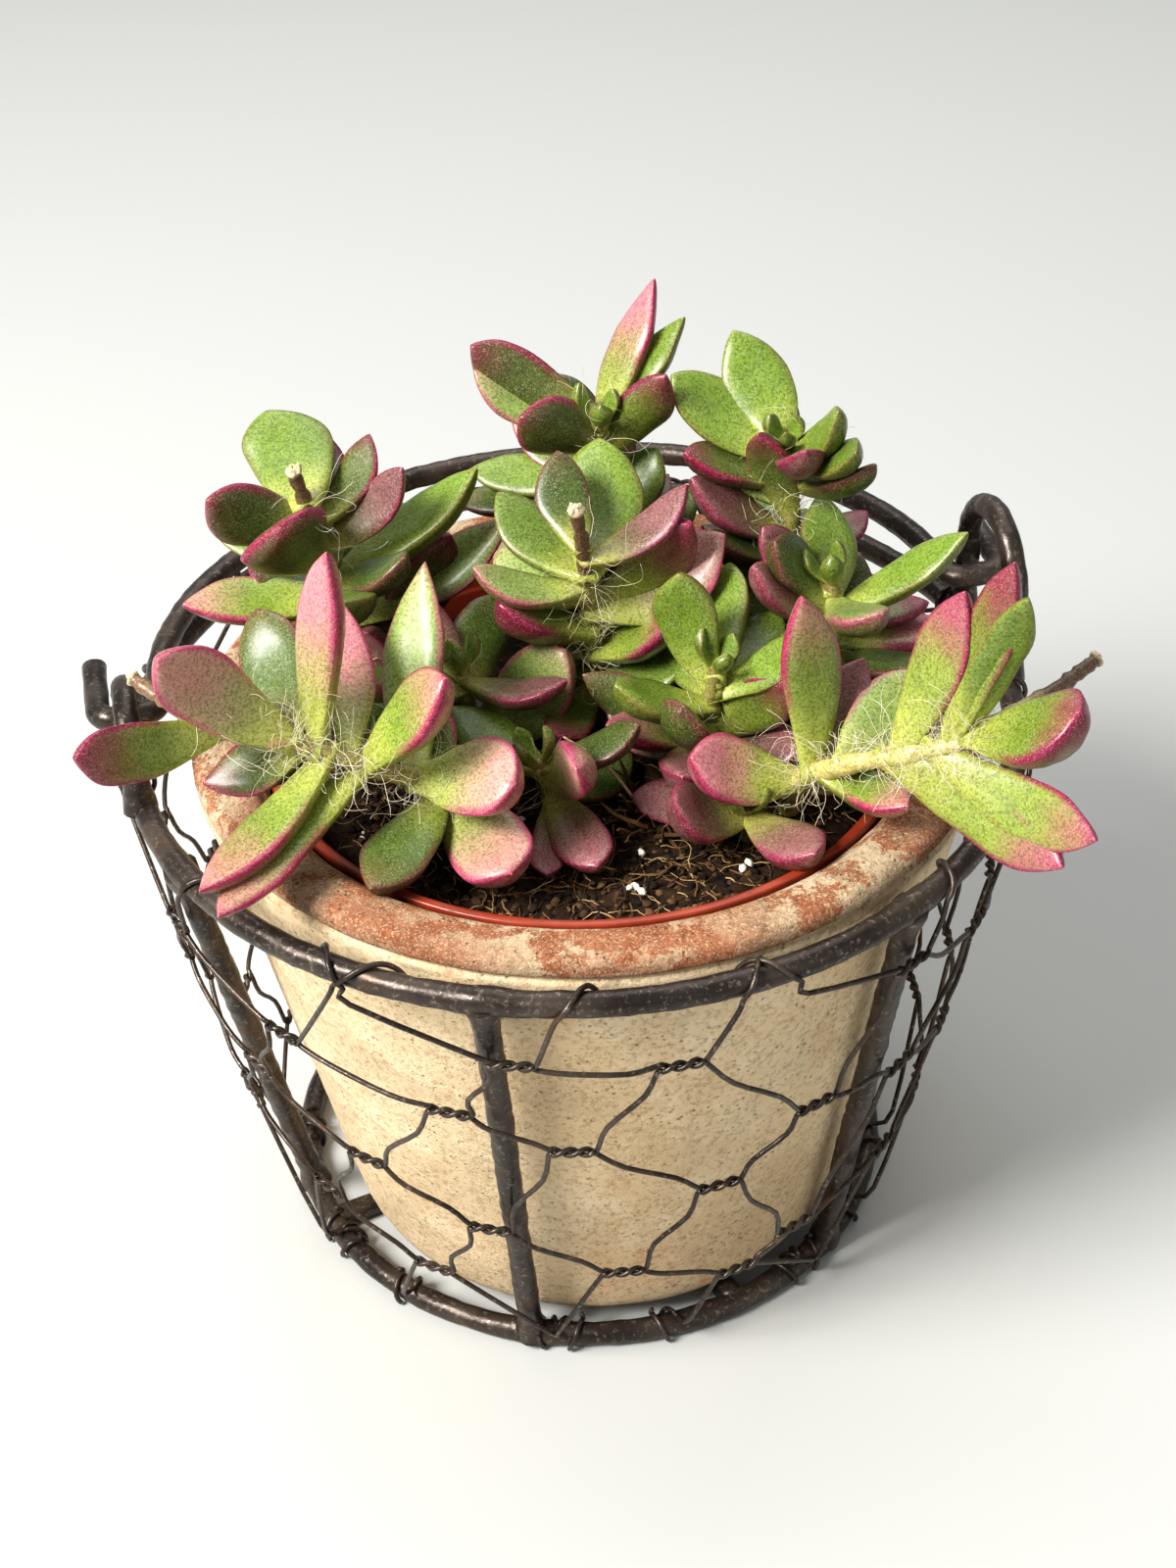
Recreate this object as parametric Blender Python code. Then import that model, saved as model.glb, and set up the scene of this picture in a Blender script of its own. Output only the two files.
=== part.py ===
"""A potted crassula: fleshy leafy stems in a nursery pot, inside a terracotta pot, in a wire basket.

The origin is the middle of the basket's underside. +Z is up, and the front is towards -Y.
Sizes below are in millimetres; the meshes are made in metres.
"""

import math
import random
from collections import namedtuple

import bmesh
import bpy
from mathutils import Matrix, Vector

MM = 0.001
GAP = 0.3
UP = Vector((0, 0, 1))

# Basket of welded rod
ROD = 2.0
ROD_SIDES = 8
RING_STEPS = 36
TOP_RING = 71.5
TOP_RING_Z = 95.4
BASE_RING = 52.2
BASE_RING_Z = ROD
UPRIGHT_ENDS = (  # where each upright meets the top ring and the base ring, in degrees
    (-101.2, -101.7),
    (-47.3, -38.1),
    (-147.5, -163.7),
    (19.0, 24.0),
    (79.0, 80.0),
    (139.0, 136.0),
)
CROSS_AT = (28.0, 118.0)

# Eyes on the top ring, and the bail that hangs in them
Eye = namedtuple("Eye", "degrees top_z hinge_z")
EYES = {"right": Eye(13.0, 120.5, 106.0), "left": Eye(190.0, 108.6, 101.8)}
EYE_HALF = 11.0
HINGE_BACK = 5.0
ARM_CLEAR = 2 * ROD + 0.8
HOOK_BEND = 3.0
HOOK_END = 16.0
BAIL_STEPS = 24
BAIL_LEAN = 0.9

# Netting of thin wire round the outside of the uprights
WIRE_HALF = 0.55
NET_OFF = 3.2
HOOK_OFF = 3.45
TWIST_HALF = 2.8
NET_ACROSS = (19.15, -7.2)  # step to the twist on the right: degrees round, and mm up the slope
NET_UP = (12.12, 18.0)
NET_ROUND = (15, 6)  # this many of each step close the net on itself
NET_LOW = 14.0
NET_HIGH = 88.0
NET_SPREAD = 1.1
NET_HOLD = 0.25
HOOK_ROUND = 200.0
HOOK_STEPS = 3
HOOK_ASIDE = 4.4

# Pots and soil
POT_AXIS = Vector((1.7, -4.4, 0))
POT_STEPS = 36
POT_FOOT_Z = 2 * ROD + GAP
POT_TOP_Z = 99.9
POT_FOOT = 44.7
POT_RIM = 63.5
RIM_IN = 53.0
POT_FLOOR = 6.0
DRAIN = 6.0
INNER_LIP = 52.1
INNER_LIP_Z = 97.0
INNER_FOOT = 36.5
INNER_WALL = 0.9
INNER_HOLES = 5
SOIL_Z = 91.5
SOIL_LUMP = 0.9

# Leafy stems
STEM = 1.7
STEM_SIDES = 5
LEAF_RINGS = (0.03, 0.26, 0.55, 0.83)
LEAF_SECTION = ((-1, 0.1), (0, 0.42), (1, 0.1), (0, -0.58))
LEAF_POINT = 0.3
LEAF_THICK = 0.5
FACE_LIGHT = 1.4
LEAF_BOW = 0.09
ROOT_DEPTH = 9.0
HOLE_CLEAR = 0.35

# The lens of the reference picture: where it stands, how far it tips down and rolls, and its length
LENS = Vector((1.74, -315.14, 318.58))
LENS_DOWN = math.radians(37.14)
LENS_ROLL = math.radians(-1.68)
LENS_LONG = 2400.0
PICTURE_MIDDLE = (600.0, 800.0)

# Twists of the net that the reference picture shows, by their place in the net
SEEN_TWISTS = {
    (0, 0): (697, 1087),
    (-1, 0): (522, 1088),
    (1, 0): (834, 1126),
    (0, 1): (808, 1010),
    (0, -1): (585, 1176),
    (1, -1): (735, 1209),
    (1, -2): (637, 1298),
    (-1, -1): (459, 1136),
    (0, -2): (501, 1255),
    (2, -1): (811, 1250),
    (-2, 0): (307, 1007),
}

NEAR, FAR = -1, 1

# One leaf: the picture points of its root and tip, its real length and width,
# whether the tip leans to the near or the far side, and a turn about its own length in degrees
Leaf = namedtuple("Leaf", "root tip long wide side turn", defaults=(NEAR, 0.0))
# A stem: picture points from the soil to its end, each with the height above the table
Shoot = namedtuple("Shoot", "stem leaves hidden")

SHOOTS = {
    "shoot_trailing_left": Shoot(
        ((481, 888, 84), (478, 846, 93), (464, 814, 101), (430, 797, 106), (395, 787, 110), (360, 776, 113),
         (320, 763, 116), (285, 755, 118), (240, 748, 120), (195, 732, 122), (165, 712, 123), (135, 693, 124)),
        (
            Leaf((228, 750), (76, 775), 25, 8.5, NEAR),
            Leaf((295, 752), (160, 672), 27, 11.0, NEAR),
            Leaf((300, 752), (262, 621), 24, 11.0, FAR),
            Leaf((322, 763), (333, 563), 31, 8.0, NEAR),
            Leaf((355, 772), (337, 602), 28, 8.0, FAR),
            Leaf((372, 780), (455, 692), 22, 10.0, NEAR),
            Leaf((425, 797), (434, 573), 35, 10.0, FAR),
            Leaf((335, 768), (203, 910), 30, 8.0, NEAR),
            Leaf((375, 782), (222, 936), 34, 9.0, NEAR),
            Leaf((310, 762), (207, 800), 19, 9.0, FAR),
            Leaf((425, 797), (527, 800), 20, 12.5, NEAR),
            Leaf((455, 812), (522, 892), 21, 12.5, NEAR),
            Leaf((450, 808), (378, 908), 24, 10.5, NEAR),
        ),
        0,
    ),
    "shoot_low_left": Shoot(
        ((572, 873, 84), (566, 828, 93), (556, 795, 100), (548, 775, 104)),
        (
            Leaf((566, 815), (557, 893), 18, 6.0, NEAR),
            Leaf((564, 808), (610, 885), 19.5, 9.0, NEAR),
            Leaf((556, 795), (589, 785), 16, 9.0, NEAR),
            Leaf((556, 800), (645, 770), 19, 10.0, FAR),
        ),
        3,
    ),
    "shoot_left_centre": Shoot(
        ((484, 806, 84), (482, 762, 93), (476, 715, 103), (470, 680, 109)),
        (
            Leaf((482, 762), (578, 663), 24, 13.0, NEAR),
            Leaf((476, 735), (475, 690), 16, 9.0, FAR),
            Leaf((474, 700), (507, 607), 20, 9.5, FAR),
            Leaf((474, 712), (455, 640), 20, 9.0, FAR),
        ),
        4,
    ),
    "shoot_left_back": Shoot(
        ((391, 743, 84), (380, 690, 95), (358, 640, 106), (335, 585, 118), (318, 530, 129), (299, 480, 139)),
        (
            Leaf((314, 520), (272, 420), 21, 14.0, FAR),
            Leaf((318, 535), (210, 510), 19, 10.0, NEAR),
            Leaf((330, 575), (285, 537), 19, 14.0, NEAR),
            Leaf((328, 560), (220, 545), 18, 7.0, FAR),
            Leaf((345, 610), (186, 617), 24, 9.0, FAR),
            Leaf((335, 590), (487, 478), 27.5, 9.0, FAR),
            Leaf((355, 635), (521, 527), 29.5, 9.5, FAR),
            Leaf((372, 668), (460, 545), 26, 10.0, NEAR),
            Leaf((378, 690), (375, 645), 14, 7.0, NEAR),
        ),
        4,
    ),
    "shoot_centre": Shoot(
        ((607, 773, 84), (606, 730, 93), (604, 680, 104), (602, 630, 114), (596, 575, 126), (588, 520, 137)),
        (
            Leaf((599, 592), (612, 447), 24, 13.0, FAR),
            Leaf((598, 600), (505, 565), 19, 12.0, FAR),
            Leaf((602, 640), (509, 618), 18, 9.0, NEAR),
            Leaf((602, 632), (706, 533), 24, 9.5, NEAR),
            Leaf((602, 625), (740, 545), 24, 13.5, FAR),
            Leaf((603, 665), (690, 618), 19.5, 9.0, NEAR),
            Leaf((604, 665), (565, 548), 20, 8.0, FAR),
        ),
        5,
    ),
    "shoot_back": Shoot(
        ((617, 716, 84), (616, 672, 93), (615, 600, 107), (614, 520, 121), (612, 460, 131), (611, 428, 137)),
        (
            Leaf((611, 435), (668, 284), 26, 7.0, FAR),
            Leaf((612, 445), (699, 323), 24, 7.0, FAR),
            Leaf((613, 470), (680, 382), 19, 8.0, NEAR),
            Leaf((611, 432), (480, 352), 23, 10.0, FAR),
            Leaf((611, 440), (483, 378), 22, 9.0, NEAR),
            Leaf((612, 450), (530, 425), 17, 10.0, NEAR),
            Leaf((613, 478), (478, 480), 23, 8.0, FAR),
            Leaf((613, 495), (464, 512), 26, 7.5, FAR),
            Leaf((613, 500), (548, 490), 14, 6.5, NEAR),
        ),
        5,
    ),
    "shoot_back_right": Shoot(
        ((783, 718, 84), (785, 670, 94), (798, 600, 107), (808, 530, 120), (805, 470, 130), (803, 450, 134)),
        (
            Leaf((804, 460), (748, 337), 22, 11.0, FAR),
            Leaf((805, 468), (685, 382), 23, 10.5, FAR),
            Leaf((806, 490), (698, 462), 19, 7.5, NEAR),
            Leaf((808, 530), (774, 443), 20, 7.0, NEAR),
            Leaf((806, 545), (705, 488), 21, 8.0, NEAR),
            Leaf((805, 560), (742, 487), 20, 8.5, FAR),
            Leaf((807, 515), (735, 440), 17, 9.0, FAR),
            Leaf((804, 570), (885, 522), 18, 7.0, FAR),
        ),
        5,
    ),
    "shoot_right_back": Shoot(
        ((821, 774, 84), (824, 730, 93), (838, 670, 104), (850, 625, 112), (848, 590, 118)),
        (
            Leaf((849, 605), (838, 502), 20, 9.0, FAR),
            Leaf((850, 625), (988, 543), 26, 7.0, NEAR),
            Leaf((850, 622), (790, 552), 17, 8.0, NEAR),
            Leaf((848, 640), (768, 577), 19, 7.5, NEAR),
            Leaf((849, 610), (778, 538), 17, 8.0, NEAR),
            Leaf((850, 630), (948, 615), 18, 7.0, FAR),
            Leaf((846, 650), (970, 635), 22, 8.5, FAR),
        ),
        4,
    ),
    "shoot_right_centre": Shoot(
        ((723, 837, 84), (723, 792, 93), (724, 748, 101), (727, 705, 109), (732, 678, 114)),
        (
            Leaf((727, 705), (692, 585), 21, 9.5, NEAR),
            Leaf((731, 690), (745, 574), 22, 9.5, FAR),
            Leaf((726, 710), (680, 622), 20, 7.5, FAR),
            Leaf((727, 708), (828, 652), 20, 7.0, NEAR),
            Leaf((726, 720), (627, 700), 18, 7.5, NEAR),
            Leaf((725, 735), (818, 683), 18, 8.0, FAR),
            Leaf((724, 748), (810, 697), 19, 8.5, NEAR),
            Leaf((724, 745), (697, 722), 16, 10.0, NEAR),
            Leaf((724, 752), (618, 740), 18, 7.0, NEAR),
            Leaf((724, 752), (696, 794), 15, 9.0, NEAR),
            Leaf((724, 740), (594, 688), 22, 7.5, FAR),
        ),
        2,
    ),
    "shoot_low_right": Shoot(
        ((765, 889, 84), (764, 846, 93), (762, 824, 98)),
        (
            Leaf((764, 832), (688, 820), 17, 10.5, NEAR),
            Leaf((763, 832), (644, 812), 18.4, 8.0, FAR),
            Leaf((764, 832), (832, 872), 20, 9.0, NEAR),
        ),
        0,
    ),
    "shoot_trailing_right": Shoot(
        ((803, 866, 84), (806, 822, 93), (815, 797, 101), (845, 785, 107), (885, 776, 111), (925, 770, 114),
         (965, 762, 117), (1000, 746, 120), (1045, 722, 122), (1090, 695, 124), (1120, 672, 126)),
        (
            Leaf((815, 797), (704, 773), 20, 11.0, NEAR),
            Leaf((830, 790), (818, 608), 29, 9.5, NEAR),
            Leaf((860, 782), (937, 685), 22, 11.0, FAR),
            Leaf((915, 771), (985, 603), 29, 8.5, NEAR),
            Leaf((965, 762), (1036, 573), 33, 7.5, NEAR),
            Leaf((980, 756), (1050, 610), 29, 7.0, NEAR),
            Leaf((990, 752), (1105, 728), 21, 13.0, NEAR),
            Leaf((950, 766), (1119, 858), 31, 9.0, NEAR),
            Leaf((905, 773), (1085, 886), 33, 10.0, NEAR),
            Leaf((835, 788), (927, 823), 17, 7.5, NEAR),
        ),
        0,
    ),
}

HIDDEN_LONG = 18.0
HIDDEN_WIDE = 8.0
GOLDEN_TURN = 137.5
HIDDEN_TRIES = 60
LEAF_ROOM = 0.8
FRONT_SOIL = -27.0  # hidden leaves leave the soil bare in front of this


def clear_scene():
    for item in list(bpy.data.objects):
        bpy.data.objects.remove(item)


def material(name, colour, roughness, metallic=0.0):
    made = bpy.data.materials.new(name)
    made.use_nodes = True
    shader = made.node_tree.nodes["Principled BSDF"]
    shader.inputs["Base Color"].default_value = (*colour, 1)
    shader.inputs["Roughness"].default_value = roughness
    shader.inputs["Metallic"].default_value = metallic
    made.diffuse_color = (*colour, 1)
    return made


def object_of(name, bm, finish, smooth_below=35.0):
    """Turns a bmesh drawn in millimetres into an object in metres."""
    bmesh.ops.recalc_face_normals(bm, faces=bm.faces)
    bmesh.ops.scale(bm, vec=(MM, MM, MM), verts=bm.verts)
    mesh = bpy.data.meshes.new(name)
    bm.to_mesh(mesh)
    bm.free()
    mesh.materials.append(finish)
    mesh.shade_smooth()
    mesh.set_sharp_from_angle(angle=math.radians(smooth_below))
    made = bpy.data.objects.new(name, mesh)
    bpy.context.scene.collection.objects.link(made)
    return made


def set_origin(made, point):
    """Moves an object's origin to a point in millimetres, and leaves its shape where it is."""
    spot = point * MM
    made.data.transform(Matrix.Translation(made.location - spot))
    made.location = spot


def loft(bm, rings):
    """Skins rings of points that match one to one, and caps both ends."""
    loops = [[bm.verts.new(point) for point in ring] for ring in rings]
    for low, high in zip(loops, loops[1:]):
        for k, corner in enumerate(low):
            after = (k + 1) % len(low)
            bm.faces.new((corner, low[after], high[after], high[k]))
    bm.faces.new(loops[0])
    bm.faces.new(loops[-1])


def smooth_path(points, steps):
    """A Catmull-Rom curve through the points."""
    ends = [2 * points[0] - points[1], *points, 2 * points[-1] - points[-2]]
    path = []
    for k in range(1, len(ends) - 2):
        a, b, c, d = ends[k - 1 : k + 3]
        for step in range(steps):
            t = step / steps
            path.append(
                0.5 * (2 * b + (c - a) * t + (2 * a - 5 * b + 4 * c - d) * t**2 + (3 * b - a - 3 * c + d) * t**3)
            )
    return [*path, points[-1]]


def tube_rings(path, radius, sides, first_side=None):
    """Rings round a path, carried along it without twist. radius is a function of the share run."""
    rings = []
    side = first_side
    for k, point in enumerate(path):
        ahead = path[min(k + 1, len(path) - 1)] - path[max(k - 1, 0)]
        ahead.normalize()
        if side is None:
            side = ahead.orthogonal()
        side = (side - ahead * side.dot(ahead)).normalized()
        other = ahead.cross(side)
        wide = radius(k / (len(path) - 1))
        turns = [2 * math.pi * (n + 0.5) / sides for n in range(sides)]
        rings.append([point + wide * (math.cos(turn) * side + math.sin(turn) * other) for turn in turns])
    return rings


def corner_radius():
    """Radius of the corners of a rod's section whose flats are ROD from its middle."""
    return ROD / math.cos(math.pi / ROD_SIDES)


def bent_rod(name, path, finish, first_side=None):
    bm = bmesh.new()
    wide = corner_radius()
    loft(bm, tube_rings(path, lambda share: wide, ROD_SIDES, first_side))
    return object_of(name, bm, finish)


def turned(bm, profile, steps, axis=Vector((0, 0, 0))):
    """Spins a closed profile of (radius, height) corners round an upright axis."""
    corners = [bm.verts.new((axis.x + radius, axis.y, height)) for radius, height in profile]
    edges = [bm.edges.new(pair) for pair in zip(corners, corners[1:] + corners[:1])]
    bmesh.ops.spin(
        bm, geom=corners + edges, cent=axis, axis=UP, angle=2 * math.pi, steps=steps, use_merge=True
    )
    bmesh.ops.remove_doubles(bm, verts=bm.verts, dist=0.001)


def section(middle_radius, middle_z, radius):
    """The eight corners of a rod's section, with a flat facing down."""
    turns = [2 * math.pi * (n + 0.5) / ROD_SIDES for n in range(ROD_SIDES)]
    return [(middle_radius + radius * math.cos(turn), middle_z + radius * math.sin(turn)) for turn in turns]


def rod_ring(name, middle_radius, middle_z, radius, finish):
    bm = bmesh.new()
    turned(bm, section(middle_radius, middle_z, radius), RING_STEPS)
    return object_of(name, bm, finish)


def applied(target):
    """Replaces an object's mesh by the one that its modifiers make."""
    graph = bpy.context.evaluated_depsgraph_get()
    mesh = bpy.data.meshes.new_from_object(target.evaluated_get(graph))
    target.modifiers.clear()
    target.data = mesh


def cut(target, cutters):
    for cutter in cutters:
        step = target.modifiers.new("cut", "BOOLEAN")
        step.operation = "DIFFERENCE"
        step.object = cutter
    applied(target)
    for cutter in cutters:
        bpy.data.objects.remove(cutter)


def fused(target, others):
    """Joins the other objects into the target by one union, and removes them."""
    group = bpy.data.collections.new("fused")
    bpy.context.scene.collection.children.link(group)
    for other in others:
        bpy.context.scene.collection.objects.unlink(other)
        group.objects.link(other)
    step = target.modifiers.new("fuse", "BOOLEAN")
    step.operation = "UNION"
    step.operand_type = "COLLECTION"
    step.collection = group
    applied(target)
    for other in others:
        bpy.data.objects.remove(other)
    bpy.data.collections.remove(group)


def lens_axes():
    ahead = Vector((0, math.cos(LENS_DOWN), -math.sin(LENS_DOWN)))
    level = Vector((1, 0, 0))
    rise = level.cross(ahead)
    across = level * math.cos(LENS_ROLL) + rise * math.sin(LENS_ROLL)
    return ahead, across, rise * math.cos(LENS_ROLL) - level * math.sin(LENS_ROLL)


def sight(spot):
    """The direction from the lens through a point of the picture."""
    ahead, across, rise = lens_axes()
    right = (spot[0] - PICTURE_MIDDLE[0]) / LENS_LONG
    up = (PICTURE_MIDDLE[1] - spot[1]) / LENS_LONG
    return (ahead + across * right + rise * up).normalized()


def at_height(spot, height):
    line = sight(spot)
    return LENS + line * (height - LENS.z) / line.z


def on_ring(radius, height, degrees):
    turn = math.radians(degrees)
    return Vector((radius * math.cos(turn), radius * math.sin(turn), height))


def on_rod_ring(radius, height, degrees):
    """A point of a ring's middle line, which has RING_STEPS straight pieces."""
    step = 360 / RING_STEPS
    off = math.radians(degrees % step - step / 2)
    return on_ring(radius * math.cos(math.radians(step / 2)) / math.cos(off), height, degrees)


def make_rings(steel):
    rod_ring("top_ring", TOP_RING, TOP_RING_Z, corner_radius(), steel)
    rod_ring("base_ring", BASE_RING, BASE_RING_Z, corner_radius(), steel)


def top_cutter(steel):
    return rod_ring("top_cutter", TOP_RING, TOP_RING_Z, corner_radius() + GAP, steel)


def base_cutter(steel):
    return rod_ring("base_cutter", BASE_RING, BASE_RING_Z, corner_radius() + GAP, steel)


def ring_cutters(steel):
    """Fat copies of both rings, which leave a gap where a rod is welded on."""
    return [top_cutter(steel), base_cutter(steel)]


def make_uprights(steel):
    for number, (top, base) in enumerate(UPRIGHT_ENDS, 1):
        path = [on_rod_ring(BASE_RING, BASE_RING_Z, base), on_rod_ring(TOP_RING, TOP_RING_Z, top)]
        upright = bent_rod(f"upright_{number}", path, steel)
        cut(upright, ring_cutters(steel))
        set_origin(upright, path[0])


def make_cross(steel):
    """The two crossed rods that carry the pot, welded where they cross."""
    rods = []
    for number, degrees in enumerate(CROSS_AT):
        end = on_rod_ring(BASE_RING, BASE_RING_Z, degrees)
        other_end = on_rod_ring(BASE_RING, BASE_RING_Z, degrees + 180)
        rods.append(bent_rod(f"cross_rod_{number}", [other_end, end], steel, UP))
    rods[0].name = "base_cross"
    fused(rods[0], rods[1:])
    cut(rods[0], [base_cutter(steel)])


def hinge():
    """The bail's hinge: its middle, the direction along it to the right, and half its length."""
    ends = {}
    for side, eye in EYES.items():
        turn = math.radians(eye.degrees)
        back = Vector((-math.sin(turn), math.cos(turn), 0))
        if back.y < 0:
            back.negate()
        ends[side] = on_ring(TOP_RING, eye.hinge_z, eye.degrees) + back * HINGE_BACK
    along = ends["right"] - ends["left"]
    return (ends["right"] + ends["left"]) / 2, along.normalized(), along.length / 2


def hinge_back():
    """The level direction square to the hinge, towards the back."""
    return UP.cross(hinge()[1]).normalized()


def make_eyes(steel):
    """An arch of rod at each side, standing on the top ring square to the hinge."""
    back = hinge_back()
    for side, eye in EYES.items():
        foot = on_ring(TOP_RING, TOP_RING_Z, eye.degrees)
        arch_z = eye.top_z - EYE_HALF - TOP_RING_Z
        path = [foot - back * EYE_HALF]
        for step in range(13):
            turn = math.pi * step / 12
            path.append(foot + UP * (arch_z + EYE_HALF * math.sin(turn)) - back * EYE_HALF * math.cos(turn))
        path.append(foot + back * EYE_HALF)
        arch = bent_rod(f"eye_{side}", path, steel, hinge()[1])
        cut(arch, [top_cutter(steel)])
        set_origin(arch, foot)


def bail_rest_z():
    """Height of the bail's middle line at the back, where it lies on the net's hooks over the ring."""
    return TOP_RING_Z + HOOK_OFF + WIRE_HALF + GAP + ROD + BAIL_LEAN


def make_bail(steel):
    middle, along, half = hinge()
    back = hinge_back()
    reach = TOP_RING - middle.dot(back)
    drop = math.asin((middle.z - bail_rest_z()) / reach)
    lie = back * math.cos(drop) - UP * math.sin(drop)
    inner = half - ARM_CLEAR
    outer = half + ARM_CLEAR

    def hook(sign):
        """From the free end, round the eye's back leg, to where the bow begins."""
        bend = HOOK_BEND
        spots = [(outer, HOOK_END), (outer, HOOK_END / 2), (outer, bend)]
        for step in (1, 2):
            turn = math.radians(30 * step)
            spots.append((outer - bend * (1 - math.cos(turn)), bend * (1 - math.sin(turn))))
        spots += [(outer - bend, 0), (inner + bend, 0)]
        for step in (1, 2):
            turn = math.radians(30 * step)
            spots.append((inner + bend * (1 - math.sin(turn)), bend * (1 - math.cos(turn))))
        spots.append((inner, bend))
        return [middle + sign * along * across + lie * deep for across, deep in spots]

    bow = []
    for step in range(1, BAIL_STEPS):
        turn = math.pi * step / BAIL_STEPS
        deep = HOOK_BEND + (reach - HOOK_BEND) * math.sin(turn)
        bow.append(middle + along * inner * math.cos(turn) + lie * deep)
    path = hook(1) + bow + hook(-1)[::-1]
    set_origin(bent_rod("bail", path, steel, UP), middle)


def on_net(degrees, slope_mm, off=NET_OFF):
    """A point of the net: degrees round, and millimetres up the slope from the base ring."""
    lean = math.atan2(TOP_RING - BASE_RING, TOP_RING_Z - BASE_RING_Z)
    radius = BASE_RING + slope_mm * math.sin(lean) + off * math.cos(lean)
    height = BASE_RING_Z + slope_mm * math.cos(lean) - off * math.sin(lean)
    return on_ring(radius, height, degrees)


def net_out(degrees):
    lean = math.atan2(TOP_RING - BASE_RING, TOP_RING_Z - BASE_RING_Z)
    return on_ring(math.cos(lean), -math.sin(lean), degrees)


def seen_on_net(spot):
    """Where a point of the picture lies on the near side of the net: degrees, and mm up the slope."""
    line = sight(spot)
    lean = math.atan2(TOP_RING - BASE_RING, TOP_RING_Z - BASE_RING_Z)
    near, far = 200.0, LENS.y / -line.y
    for _ in range(50):
        reach = (near + far) / 2
        point = LENS + line * reach
        wall = BASE_RING + NET_OFF / math.cos(lean) + (point.z - BASE_RING_Z) * math.tan(lean)
        if math.hypot(point.x, point.y) > wall:
            near = reach
        else:
            far = reach
    slope_mm = (point.z - BASE_RING_Z + NET_OFF * math.sin(lean)) / math.cos(lean)
    return math.degrees(math.atan2(point.y, point.x)), slope_mm


def twist_places():
    """Every twist of the net by its place, drawn towards where the picture shows its neighbours."""
    seen = {place: seen_on_net(spot) for place, spot in SEEN_TWISTS.items()}
    first = seen[(0, 0)]

    def by_rule(i, j):
        return (
            first[0] + i * NET_ACROSS[0] + j * NET_UP[0],
            first[1] + i * NET_ACROSS[1] + j * NET_UP[1],
        )

    shifts = {}
    for place, (degrees, slope_mm) in seen.items():
        ruled = by_rule(*place)
        shifts[place] = (degrees - ruled[0], slope_mm - ruled[1])
    places = {}
    for i in range(-NET_ROUND[0], NET_ROUND[0]):
        for j in range(-NET_ROUND[0], NET_ROUND[0]):
            degrees, slope_mm = by_rule(i, j)
            if not first[0] - 180 <= degrees - 0.5 * NET_UP[0] < first[0] + 180:
                continue
            pull = {
                place: math.exp(-((i - place[0]) ** 2 + (j - place[1]) ** 2) / (2 * NET_SPREAD**2))
                for place in shifts
            }
            total = sum(pull.values()) + NET_HOLD
            if (i, j) in seen:
                places[i, j] = seen[i, j]
                continue
            degrees += sum(share * shifts[place][0] for place, share in pull.items()) / total
            slope_mm += sum(share * shifts[place][1] for place, share in pull.items()) / total
            places[i, j] = (degrees, slope_mm)
    return {place: spot for place, spot in places.items() if NET_LOW <= spot[1] <= NET_HIGH}


def same_place(i, j):
    """The names that one twist can have, as the net closes round the basket."""
    return [(i + turn * NET_ROUND[0], j + turn * NET_ROUND[1]) for turn in (-1, 0, 1)]


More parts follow.
